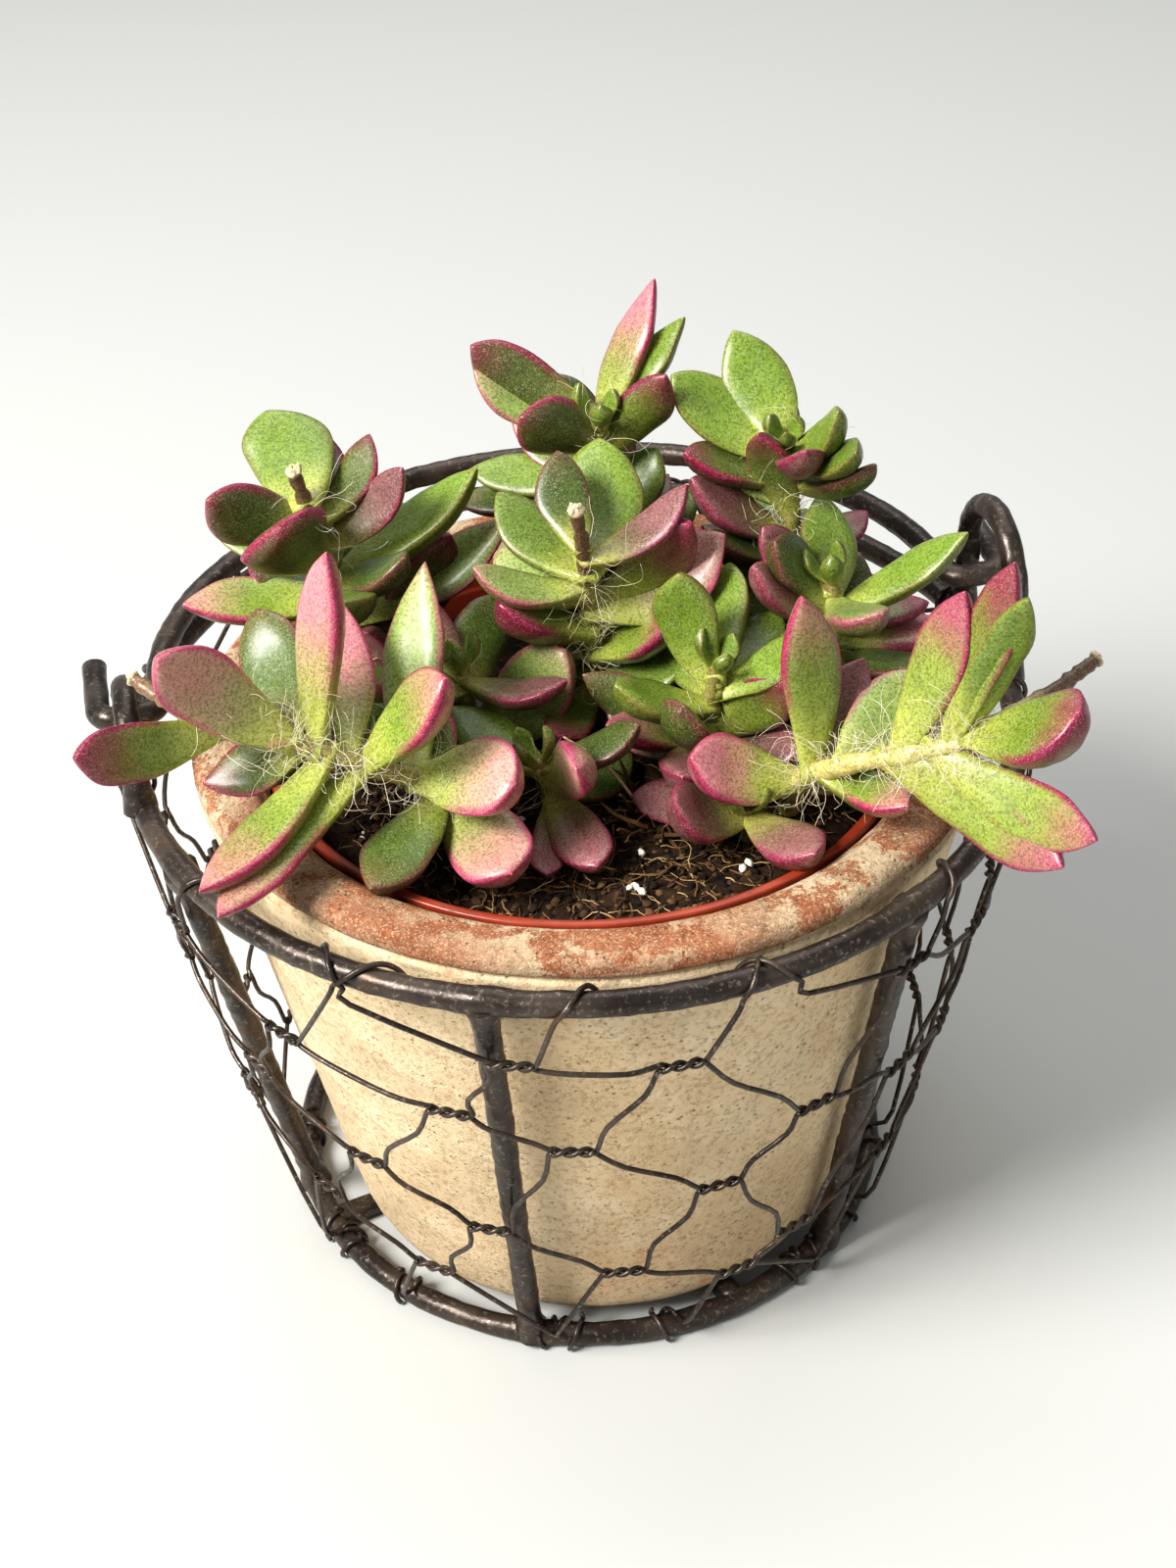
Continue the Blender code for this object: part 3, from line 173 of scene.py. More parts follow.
SHOOTS = {
    "shoot_trailing_left": Shoot(
        ((481, 888, 84), (478, 846, 93), (464, 814, 101), (430, 797, 106), (395, 787, 110), (360, 776, 113),
         (320, 763, 116), (285, 755, 118), (240, 748, 120), (195, 732, 122), (165, 712, 123), (135, 693, 124)),
        (
            Leaf((228, 750), (76, 775), 25, 8.5, NEAR, "magenta", -25, 0),
            Leaf((295, 752), (160, 672), 27, 11.0, NEAR, "blush", 0, 0.15),
            Leaf((300, 752), (262, 621), 24, 11.0, FAR, "dark", 0, 0.2),
            Leaf((322, 763), (333, 563), 31, 8.0, NEAR, "pink", -45, 0.8),
            Leaf((355, 772), (337, 602), 28, 8.0, FAR, "pink", 10, 0.8),
            Leaf((372, 780), (455, 692), 22, 10.0, NEAR, "greenpink", -42, 0.6),
            Leaf((425, 797), (434, 573), 35, 10.0, FAR, "pale", -25, 0.9),
            Leaf((335, 768), (203, 910), 30, 8.0, NEAR, "greenpink", 42, 0.9),
            Leaf((375, 782), (222, 936), 34, 9.0, NEAR, "greenpink", 28, 0.8),
            Leaf((310, 762), (207, 800), 19, 9.0, FAR, "olive", 0, 0.8),
            Leaf((425, 797), (527, 800), 20, 12.5, NEAR, "blush", -18, 0.15),
            Leaf((455, 812), (522, 892), 21, 12.5, NEAR, "blush", -8, 0),
            Leaf((450, 808), (378, 908), 24, 10.5, NEAR, "dark", 0, 0.6),
        ),
        0,
    ),
    "shoot_low_left": Shoot(
        ((572, 873, 84), (566, 828, 93), (556, 795, 100), (548, 775, 104)),
        (
            Leaf((566, 815), (557, 893), 18, 6.0, NEAR, "mauve", 0, 0.2),
            Leaf((564, 808), (610, 885), 19.5, 9.0, NEAR, "mauve", 0, 0.3),
            Leaf((556, 795), (589, 785), 16, 9.0, NEAR, "blush", 20, 0.4),
            Leaf((556, 800), (645, 770), 19, 10.0, FAR, "dark", 0, 0.3),
        ),
        3,
    ),
    "shoot_left_centre": Shoot(
        ((484, 806, 84), (482, 762, 93), (476, 715, 103), (470, 680, 109)),
        (
            Leaf((482, 762), (578, 663), 24, 13.0, NEAR, "pale", -12, 0.15),
            Leaf((476, 735), (475, 690), 16, 9.0, FAR, "mauve", 0, 0.3),
            Leaf((474, 700), (507, 607), 20, 9.5, FAR, "dark", 20, 0.4),
            Leaf((474, 712), (455, 640), 20, 9.0, FAR, "dark", 0, 0.3),
        ),
        4,
    ),
    "shoot_left_back": Shoot(
        ((391, 743, 84), (380, 690, 95), (358, 640, 106), (335, 585, 118), (318, 530, 129), (299, 480, 139)),
        (
            Leaf((314, 520), (272, 420), 21, 14.0, FAR, "green", 0, 0),
            Leaf((318, 535), (210, 510), 19, 10.0, NEAR, "olive", 150, 0.3),
            Leaf((330, 575), (285, 537), 19, 14.0, NEAR, "olive", 150, 0.2),
            Leaf((328, 560), (220, 545), 18, 7.0, FAR, "green", 30, 0.6),
            Leaf((345, 610), (186, 617), 24, 9.0, FAR, "greenpink", 35, 0.7),
            Leaf((335, 590), (487, 478), 27.5, 9.0, FAR, "green", -50, 0.8),
            Leaf((355, 635), (521, 527), 29.5, 9.5, FAR, "pale", 0, 0.8),
            Leaf((372, 668), (460, 545), 26, 10.0, NEAR, "olive", 48, 0.5),
            Leaf((378, 690), (375, 645), 14, 7.0, NEAR, "mauve", 0, 0.5),
        ),
        4,
    ),
    "shoot_centre": Shoot(
        ((607, 773, 84), (606, 730, 93), (604, 680, 104), (602, 630, 114), (596, 575, 126), (588, 520, 137)),
        (
            Leaf((599, 592), (612, 447), 24, 13.0, FAR, "green", 0, 0.1),
            Leaf((598, 600), (505, 565), 19, 12.0, FAR, "pale", 0, 0.2),
            Leaf((602, 640), (509, 618), 18, 9.0, NEAR, "magenta", 56, 0.3),
            Leaf((602, 632), (706, 533), 24, 9.5, NEAR, "magenta", 42, 0.5),
            Leaf((602, 625), (740, 545), 24, 13.5, FAR, "blush", 0, 0.7),
            Leaf((603, 665), (690, 618), 19.5, 9.0, NEAR, "magenta", -46, 0.4),
            Leaf((604, 665), (565, 548), 20, 8.0, FAR, "mauve", 20, 0.5),
        ),
        5,
    ),
    "shoot_back": Shoot(
        ((617, 716, 84), (616, 672, 93), (615, 600, 107), (614, 520, 121), (612, 460, 131), (611, 428, 137)),
        (
            Leaf((611, 435), (668, 284), 26, 7.0, FAR, "pink", -42, 1),
            Leaf((612, 445), (699, 323), 24, 7.0, FAR, "green", -42, 1),
            Leaf((613, 470), (680, 382), 19, 8.0, NEAR, "magenta", -150, 0.6),
            Leaf((611, 432), (480, 352), 23, 10.0, FAR, "olive", 150, 0.3),
            Leaf((611, 440), (483, 378), 22, 9.0, NEAR, "pale", 0, 0.3),
            Leaf((612, 450), (530, 425), 17, 10.0, NEAR, "olive", 150, 0.4),
            Leaf((613, 478), (478, 480), 23, 8.0, FAR, "green", 25, 0.5),
            Leaf((613, 495), (464, 512), 26, 7.5, FAR, "dark", 35, 0.6),
            Leaf((613, 500), (548, 490), 14, 6.5, NEAR, "magenta", 150, 0.4),
        ),
        5,
    ),
    "shoot_back_right": Shoot(
        ((783, 718, 84), (785, 670, 94), (798, 600, 107), (808, 530, 120), (805, 470, 130), (803, 450, 134)),
        (
            Leaf((804, 460), (748, 337), 22, 11.0, FAR, "green", 0, 0.5),
            Leaf((805, 468), (685, 382), 23, 10.5, FAR, "green", 0, 0.2),
            Leaf((806, 490), (698, 462), 19, 7.5, NEAR, "olive", 45, 0.4),
            Leaf((808, 530), (774, 443), 20, 7.0, NEAR, "olive", -42, 0.7),
            Leaf((806, 545), (705, 488), 21, 8.0, NEAR, "mauve", 40, 0.5),
            Leaf((805, 560), (742, 487), 20, 8.5, FAR, "green", 0, 0.6),
            Leaf((807, 515), (735, 440), 17, 9.0, FAR, "green", 0, 0.3),
            Leaf((804, 570), (885, 522), 18, 7.0, FAR, "magenta", -45, 0.3),
        ),
        5,
    ),
    "shoot_right_back": Shoot(
        ((821, 774, 84), (824, 730, 93), (838, 670, 104), (850, 625, 112), (848, 590, 118)),
        (
            Leaf((849, 605), (838, 502), 20, 9.0, FAR, "green", 30, 0.8),
            Leaf((850, 625), (988, 543), 26, 7.0, NEAR, "green", -46, 0.9),
            Leaf((850, 622), (790, 552), 17, 8.0, NEAR, "dark", 45, 0.4),
            Leaf((848, 640), (768, 577), 19, 7.5, NEAR, "mauve", 45, 0.5),
            Leaf((849, 610), (778, 538), 17, 8.0, NEAR, "mauve", 0, 0.4),
            Leaf((850, 630), (948, 615), 18, 7.0, FAR, "magenta", -40, 0.4),
            Leaf((846, 650), (970, 635), 22, 8.5, FAR, "pink", -50, 0.6),
        ),
        4,
    ),
    "shoot_right_centre": Shoot(
        ((723, 837, 84), (723, 792, 93), (724, 748, 101), (727, 705, 109), (732, 678, 114)),
        (
            Leaf((727, 705), (692, 585), 21, 9.5, NEAR, "green", -32, 0.4),
            Leaf((731, 690), (745, 574), 22, 9.5, FAR, "green", -36, 0.4),
            Leaf((726, 710), (680, 622), 20, 7.5, FAR, "green", -30, 0.5),
            Leaf((727, 708), (828, 652), 20, 7.0, NEAR, "green", -30, 0.8),
            Leaf((726, 720), (627, 700), 18, 7.5, NEAR, "green", 50, 0.4),
            Leaf((725, 735), (818, 683), 18, 8.0, FAR, "pink", -30, 0.8),
            Leaf((724, 748), (810, 697), 19, 8.5, NEAR, "magenta", 30, 0.7),
            Leaf((724, 745), (697, 722), 16, 10.0, NEAR, "dark", 0, 0.2),
            Leaf((724, 752), (618, 740), 18, 7.0, NEAR, "pink", 40, 0.6),
            Leaf((724, 752), (696, 794), 15, 9.0, NEAR, "mauve", 20, 0.4),
            Leaf((724, 740), (594, 688), 22, 7.5, FAR, "dark", -20, 0.5),
        ),
        2,
    ),
    "shoot_low_right": Shoot(
        ((765, 889, 84), (764, 846, 93), (762, 824, 98)),
        (
            Leaf((764, 832), (688, 820), 17, 10.5, NEAR, "mauve", 0, 0.5),
            Leaf((763, 832), (644, 812), 18.4, 8.0, FAR, "mauve", 0, 0.1),
            Leaf((764, 832), (832, 872), 20, 9.0, NEAR, "mauve", -32, 0.6),
        ),
        0,
    ),
    "shoot_trailing_right": Shoot(
        ((803, 866, 84), (806, 822, 93), (815, 797, 101), (845, 785, 107), (885, 776, 111), (925, 770, 114),
         (965, 762, 117), (1000, 746, 120), (1045, 722, 122), (1090, 695, 124), (1120, 672, 126)),
        (
            Leaf((815, 797), (704, 773), 20, 11.0, NEAR, "pink", 20, 0.4),
            Leaf((830, 790), (818, 608), 29, 9.5, NEAR, "greenpink", 25, 0.9),
            Leaf((860, 782), (937, 685), 22, 11.0, FAR, "pale", 0, 0.3),
            Leaf((915, 771), (985, 603), 29, 8.5, NEAR, "yellow", -38, 0.7),
            Leaf((965, 762), (1036, 573), 33, 7.5, NEAR, "magenta", -38, 0.9),
            Leaf((980, 756), (1050, 610), 29, 7.0, NEAR, "green", 20, 0.7),
            Leaf((990, 752), (1105, 728), 21, 13.0, NEAR, "magenta", 0, 0.1),
            Leaf((950, 766), (1119, 858), 31, 9.0, NEAR, "yellow", 22, 0.5),
            Leaf((905, 773), (1085, 886), 33, 10.0, NEAR, "yellow", 30, 0.6),
            Leaf((835, 788), (927, 823), 17, 7.5, NEAR, "greenpink", -42, 0.8),
        ),
        0,
    ),
}
FILLERS = {
    "shoot_trailing_left": 3,
    "shoot_left_centre": 9,
    "shoot_left_back": 9,
    "shoot_centre": 10,
    "shoot_back": 8,
    "shoot_back_right": 9,
    "shoot_right_back": 9,
    "shoot_right_centre": 6,
    "shoot_trailing_right": 3,
}
HIDDEN_LOOKS = ("dark", "green", "mauve", "olive", "pale", "dark")


# ---- Geometry shared with the part ----


def on_ring(radius, height, degrees):
    turn = math.radians(degrees)
    return Vector((radius * math.cos(turn), radius * math.sin(turn), height))


def lens_axes():
    ahead = Vector((0, math.cos(LENS_DOWN), -math.sin(LENS_DOWN)))
    level = Vector((1, 0, 0))
    rise = level.cross(ahead)
    across = level * math.cos(LENS_ROLL) + rise * math.sin(LENS_ROLL)
    return ahead, across, rise * math.cos(LENS_ROLL) - level * math.sin(LENS_ROLL)


def sight(spot):
    ahead, across, rise = lens_axes()
    right = (spot[0] - PICTURE_MIDDLE[0]) / LENS_LONG
    up = (PICTURE_MIDDLE[1] - spot[1]) / LENS_LONG
    return (ahead + across * right + rise * up).normalized()


def at_height(spot, height):
    line = sight(spot)
    return LENS + line * (height - LENS.z) / line.z


def smooth_path(points, steps):
    ends = [2 * points[0] - points[1], *points, 2 * points[-1] - points[-2]]
    path = []
    for k in range(1, len(ends) - 2):
        a, b, c, d = ends[k - 1 : k + 3]
        for step in range(steps):
            t = step / steps
            path.append(
                0.5 * (2 * b + (c - a) * t + (2 * a - 5 * b + 4 * c - d) * t**2 + (3 * b - a - 3 * c + d) * t**3)
            )
    return [*path, points[-1]]


def hinge():
    ends = {}
    for side, eye in EYES.items():
        turn = math.radians(eye.degrees)
        back = Vector((-math.sin(turn), math.cos(turn), 0))
        if back.y < 0:
            back.negate()
        ends[side] = on_ring(TOP_RING, eye.hinge_z, eye.degrees) + back * HINGE_BACK
    along = ends["right"] - ends["left"]
    return (ends["right"] + ends["left"]) / 2, along.normalized(), along.length / 2


def hinge_back():
    return UP.cross(hinge()[1]).normalized()


# ---- Meshes ----


class Skin:
    """Points, faces and marks of one piece, gathered from many small shapes."""

    def __init__(self):
        self.points = []
        self.quads = []
        self.others = []
        self.marks = {}
        self.count = 0

    def add(self, points, quads, others=(), **marks):
        points = np.asarray(points, float).reshape(-1, 3)
        self.points.append(points)
        if len(quads):
            self.quads.append(np.asarray(quads, int) + self.count)
        self.others += [[corner + self.count for corner in face] for face in others]
        for name, values in marks.items():
            values = np.asarray(values, float)
            if values.ndim == 1:
                values = np.tile(values, (len(points), 1))
            self.marks.setdefault(name, []).append(values)
        self.count += len(points)

    def piece(self, name, finish, body=BODY, replaces=()):
        faces = [tuple(face) for face in np.concatenate(self.quads).tolist()] if self.quads else []
        faces += [tuple(face) for face in self.others]
        mesh = bpy.data.meshes.new(name)
        points = np.concatenate(self.points) * MM
        points = np.clip(points, CAD_BOX[0], CAD_BOX[1])  # flat where it stands, inside the part's box
        mesh.from_pydata(points.tolist(), [], faces)
        for mark, parts in self.marks.items():
            values = np.concatenate(parts)
            layer = mesh.attributes.new(mark, "FLOAT_VECTOR", "POINT")
            layer.data.foreach_set("vector", values.astype(np.float32).ravel())
        mesh.materials.append(finish)
        mesh.shade_smooth()
        mesh.update()
        made = bpy.data.objects.new(name, mesh)
        bpy.context.scene.collection.objects.link(made)
        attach(made, body)
        if replaces:
            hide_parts(*replaces)
        return made


def array(points):
    return np.array([tuple(point) for point in points], float)


def grid_quads(rows, columns, closed_rows=False, closed_columns=True):
    """Faces between neighbouring rows of points; each row may close on itself."""
    r = np.arange(rows if closed_rows else rows - 1)
    c = np.arange(columns if closed_columns else columns - 1)
    r, c = np.meshgrid(r, c, indexing="ij")
    r2 = (r + 1) % rows
    c2 = (c + 1) % columns
    return np.stack([r * columns + c, r * columns + c2, r2 * columns + c2, r2 * columns + c], -1).reshape(-1, 4)


def tube_frames(path, closed=False):
    path = array(path)
    if closed:
        ahead = np.roll(path, -1, 0) - np.roll(path, 1, 0)
    else:
        ahead = np.gradient(path, axis=0)
    ahead /= np.linalg.norm(ahead, axis=1)[:, None] + 1e-12
    side = np.cross(ahead[0], (0, 0, 1))
    if np.linalg.norm(side) < 0.2:
        side = np.cross(ahead[0], (1, 0, 0))
    sides = []
    for direction in ahead:
        side = side - direction * side.dot(direction)
        side /= np.linalg.norm(side)
        sides.append(side)
    sides = np.array(sides)
    return path, ahead, sides, np.cross(ahead, sides)


def add_tube(skin, path, radius, sides, closed=False, rough=0.0, seed=0.0, **marks):
    """A round tube along a path; radius is one number or one per point."""
    path, ahead, side, other = tube_frames(path, closed)
    radius = np.broadcast_to(np.asarray(radius, float), (len(path),))
    turn = 2 * np.pi * np.arange(sides) / sides
    wide = np.repeat(radius[:, None], sides, 1)
    if rough:
        for k, point in enumerate(path):
            for n in range(sides):
                spot = point + radius[k] * (math.cos(turn[n]) * side[k] + math.sin(turn[n]) * other[k])
                wide[k, n] *= 1 + rough * noise.noise(Vector(spot * 0.45) + Vector((seed, 0, 0)))
    points = path[:, None] + wide[..., None] * (
        np.cos(turn)[None, :, None] * side[:, None] + np.sin(turn)[None, :, None] * other[:, None]
    )
    ends = [] if closed else [list(range(sides))[::-1], list(range((len(path) - 1) * sides, len(path) * sides))]
    skin.add(points.reshape(-1, 3), grid_quads(len(path), sides, closed), ends, **marks)


def add_turned(skin, profile, steps, axis=Vector((0, 0, 0)), wobble=None, closed=True):
    """A closed profile of (radius, height) spun round an upright axis."""
    profile = np.asarray(profile, float)
    turn = 2 * np.pi * np.arange(steps) / steps
    radius = np.repeat(profile[None, :, 0], steps, 0)
    height = np.repeat(profile[None, :, 1], steps, 0)
    if wobble is not None:
        radius = radius + wobble(turn[:, None], radius, height)
    points = np.stack(
        [axis.x + radius * np.cos(turn)[:, None], axis.y + radius * np.sin(turn)[:, None], height], -1
    )
    skin.add(points.reshape(-1, 3), grid_quads(steps, len(profile), True, closed))


def rounded(profile, radius, steps=4):
    """Rounds the corners of a closed profile."""
    corners = [Vector((x, y, 0)) for x, y in profile]
    made = []
    for k, corner in enumerate(corners):
        before, after = corners[k - 1], corners[(k + 1) % len(corners)]
        reach = min(radius, (corner - before).length * 0.45, (corner - after).length * 0.45)
        start = corner + (before - corner).normalized() * reach
        finish = corner + (after - corner).normalized() * reach
        for step in range(steps + 1):
            t = step / steps
            point = start * (1 - t) ** 2 + corner * 2 * t * (1 - t) + finish * t**2
            made.append((point.x, point.y))
    return made


def split_long(profile, longest):
    """Adds points to the long straight runs of a closed profile."""
    made = []
    for k, (x, y) in enumerate(profile):
        x2, y2 = profile[(k + 1) % len(profile)]
        count = max(1, int(math.hypot(x2 - x, y2 - y) / longest))
        made += [(x + (x2 - x) * n / count, y + (y2 - y) * n / count) for n in range(count)]
    return made


# ---- Materials ----


def linear(colour):
    """A colour given as 0 to 255 on a screen, as light."""
    return tuple(((c / 255 + 0.055) / 1.055) ** 2.4 if c > 10 else c / 255 / 12.92 for c in colour)


class Nodes:
    """Short names for the shader nodes that the finishes are made of."""

    def __init__(self, name):
        self.made = bpy.data.materials.new(name)
        self.made.use_nodes = True
        self.tree = self.made.node_tree
        self.shader = self.tree.nodes["Principled BSDF"]
        self.where = self.tree.nodes.new("ShaderNodeTexCoord").outputs["Object"]

    def put(self, socket, value):
        if isinstance(value, bpy.types.NodeSocket):
            self.tree.links.new(value, socket)
        elif isinstance(value, tuple) and len(value) == 3 and len(socket.default_value) == 4:
            socket.default_value = (*value, 1)
        else:
            socket.default_value = value

    def set(self, **values):
        for name, value in values.items():
            self.put(self.shader.inputs[name.replace("_", " ")], value)

    def noise(self, scale, detail=4.0, rough=0.55, stretch=None, where=None):
        node = self.tree.nodes.new("ShaderNodeTexNoise")
        node.inputs["Scale"].default_value = scale
        node.inputs["Detail"].default_value = detail
        node.inputs["Roughness"].default_value = rough
        place = where or self.where
        if stretch:
            mapped = self.tree.nodes.new("ShaderNodeMapping")
            mapped.inputs["Scale"].default_value = stretch
            self.put(mapped.inputs["Vector"], place)
            place = mapped.outputs["Vector"]
        self.put(node.inputs["Vector"], place)
        return node.outputs["Fac"]

    def cells(self, scale, feature="F1"):
        node = self.tree.nodes.new("ShaderNodeTexVoronoi")
        node.feature = feature
        node.inputs["Scale"].default_value = scale
        self.put(node.inputs["Vector"], self.where)
        return node.outputs["Distance"]

    def ramp(self, value, low, high, out_low=0.0, out_high=1.0, smooth=True):
        node = self.tree.nodes.new("ShaderNodeMapRange")
        node.interpolation_type = "SMOOTHSTEP" if smooth else "LINEAR"
        self.put(node.inputs["Value"], value)
        self.put(node.inputs["From Min"], low)
        self.put(node.inputs["From Max"], high)
        self.put(node.inputs["To Min"], out_low)
        self.put(node.inputs["To Max"], out_high)
        return node.outputs["Result"]

    def math(self, kind, a, b=0.0):
        node = self.tree.nodes.new("ShaderNodeMath")
        node.operation = kind
        self.put(node.inputs[0], a)
        self.put(node.inputs[1], b)
        return node.outputs[0]

    def mix(self, factor, a, b, kind="MIX"):
        node = self.tree.nodes.new("ShaderNodeMix")
        node.data_type = "RGBA"
        node.blend_type = kind
        self.put(node.inputs["Factor"], factor)
        self.put(node.inputs["A"], a)
        self.put(node.inputs["B"], b)
        return node.outputs["Result"]

    def mark(self, name):
        node = self.tree.nodes.new("ShaderNodeAttribute")
        node.attribute_name = name
        return node

    def parts(self, vector):
        node = self.tree.nodes.new("ShaderNodeSeparateXYZ")
        self.put(node.inputs[0], vector)
        return node.outputs

    def bump(self, height, distance, strength=1.0, under=None):
        node = self.tree.nodes.new("ShaderNodeBump")
        node.inputs["Strength"].default_value = strength
        node.inputs["Distance"].default_value = distance
        self.put(node.inputs["Height"], height)
        if under:
            self.put(node.inputs["Normal"], under)
        return node.outputs["Normal"]


def steel_finish():
    n = Nodes("dark_rod")
    patch = n.noise(90, 5)
    fine = n.noise(1100, 4, 0.7)
    colour = n.mix(n.ramp(patch, 0.35, 0.7), linear((54, 47, 43)), linear((86, 76, 68)))
    # Pale flecks where the fine noise is high: painted sparkle, glints of light on the rod.
    colour = n.mix(n.ramp(fine, 0.54, 0.7, 0, 0.5), colour, linear((162, 148, 134)))
    colour = n.mix(n.ramp(n.noise(160, 3), 0.6, 0.75, 0, 0.5), colour, linear((96, 64, 44)))
    dents = n.bump(n.noise(220, 3), 0.0005, 0.55)
    n.set(
        Base_Color=colour,
        Metallic=0.6,
        Roughness=n.ramp(patch, 0.2, 0.8, 0.24, 0.46),
        Normal=n.bump(fine, 0.00014, 0.45, dents),
    )
    return n.made


def clay_finish():
    n = Nodes("aged_clay")
    place = n.parts(n.where)
    broad = n.noise(26, 5, 0.6)
    middle = n.noise(120, 6, 0.68)
    grain = n.noise(850, 5, 0.75)
    sand = n.noise(2600, 3, 0.7)
    body = n.mix(n.ramp(broad, 0.3, 0.72), linear((234, 211, 174)), linear((210, 183, 144)))
    body = n.mix(n.ramp(middle, 0.45, 0.7, 0, 0.6), body, linear((240, 222, 190)))
    body = n.mix(n.ramp(n.noise(60, 5, 0.65, (1, 1, 0.6)), 0.56, 0.7, 0, 0.5), body, linear((206, 150, 104)))
    body = n.mix(n.ramp(place[2], 0.05, 0.004, 0, 0.3), body, linear((166, 136, 104)))
    groove = (POT_TOP_Z - 3.3) * MM
    rim = n.ramp(n.math("ADD", place[2], n.math("MULTIPLY", middle, 0.0012)), groove, groove + 0.0012)
    clay = n.mix(n.ramp(middle, 0.3, 0.7), linear((140, 84, 54)), linear((164, 110, 78)))
    clay = n.mix(n.ramp(grain, 0.56, 0.7, 0, 0.4), clay, linear((188, 142, 108)))
    lime = n.ramp(n.noise(70, 8, 0.76, (1, 1, 1.3)), 0.475, 0.515, 0, 0.85)
    lime = n.math("MULTIPLY", lime, n.ramp(n.noise(24, 2), 0.4, 0.54, 0.15, 1.0))
    clay = n.mix(lime, clay, linear((196, 178, 148)))
    colour = n.mix(rim, body, clay)
    dirt = n.ramp(n.noise(70, 6, 0.7, (1, 1, 2.2)), 0.52, 0.66, 0, 0.55)
    dirt = n.math("MULTIPLY", dirt, n.ramp(place[2], groove - 0.012, groove + 0.001))
    colour = n.mix(dirt, colour, linear((116, 92, 70)))
    specks = n.ramp(n.cells(760), 0.26, 0.12, 0, 0.7)
    specks = n.math("MULTIPLY", specks, n.ramp(n.noise(240, 3), 0.44, 0.58))
    colour = n.mix(specks, colour, linear((132, 100, 72)))
    colour = n.mix(n.ramp(grain, 0.52, 0.38, 0, 0.5), colour, n.mix(1.0, colour, linear((176, 160, 138)), "MULTIPLY"))
    colour = n.mix(n.ramp(sand, 0.5, 0.68, 0, 0.4), colour, linear((238, 224, 196)))
    hollows = n.math("SUBTRACT", n.math("ADD", grain, n.math("MULTIPLY", sand, 0.5)), specks)
    pits = n.bump(hollows, 0.0005, 0.75)
    n.set(Base_Color=colour, Roughness=0.9, Normal=n.bump(middle, 0.0011, 0.55, pits))
    n.set(Specular_IOR_Level=0.22)
    return n.made


def plastic_finish():
    n = Nodes("pot_plastic")
    colour = n.mix(n.ramp(n.noise(120, 3), 0.3, 0.7), linear((128, 46, 26)), linear((152, 62, 38)))
    dust = n.ramp(n.noise(700, 4), 0.55, 0.7, 0, 0.35)
    n.set(Base_Color=n.mix(dust, colour, linear((96, 70, 52))), Roughness=n.ramp(dust, 0, 0.35, 0.3, 0.6))
    n.set(Normal=n.bump(n.noise(400, 2), 0.0001, 0.2))
    return n.made


def soil_finish():
    n = Nodes("potting_soil")
    broad = n.noise(260, 6, 0.7)
    fine = n.noise(1500, 5, 0.7)
    colour = n.mix(n.ramp(broad, 0.35, 0.7), linear((30, 22, 17)), linear((72, 54, 38)))
    colour = n.mix(n.ramp(fine, 0.6, 0.75, 0, 0.6), colour, linear((112, 88, 62)))
    n.set(Base_Color=colour, Roughness=0.95, Normal=n.bump(fine, 0.0007, 0.8, n.bump(broad, 0.0015, 0.7)))
    n.set(Specular_IOR_Level=0.15)
    return n.made


def tinted_finish(name, roughness, grain, relief):
    """A dull finish whose colour is marked on the mesh."""
    n = Nodes(name)
    tint = n.mark("tint").outputs["Color"]
    spread = n.ramp(n.noise(grain, 4), 0.3, 0.75, 0.72, 1.2)
    n.set(Base_Color=n.mix(1.0, tint, spread, "MULTIPLY"), Roughness=roughness)
    n.set(Normal=n.bump(n.noise(grain, 4), relief, 0.7), Specular_IOR_Level=0.25)
    return n.made


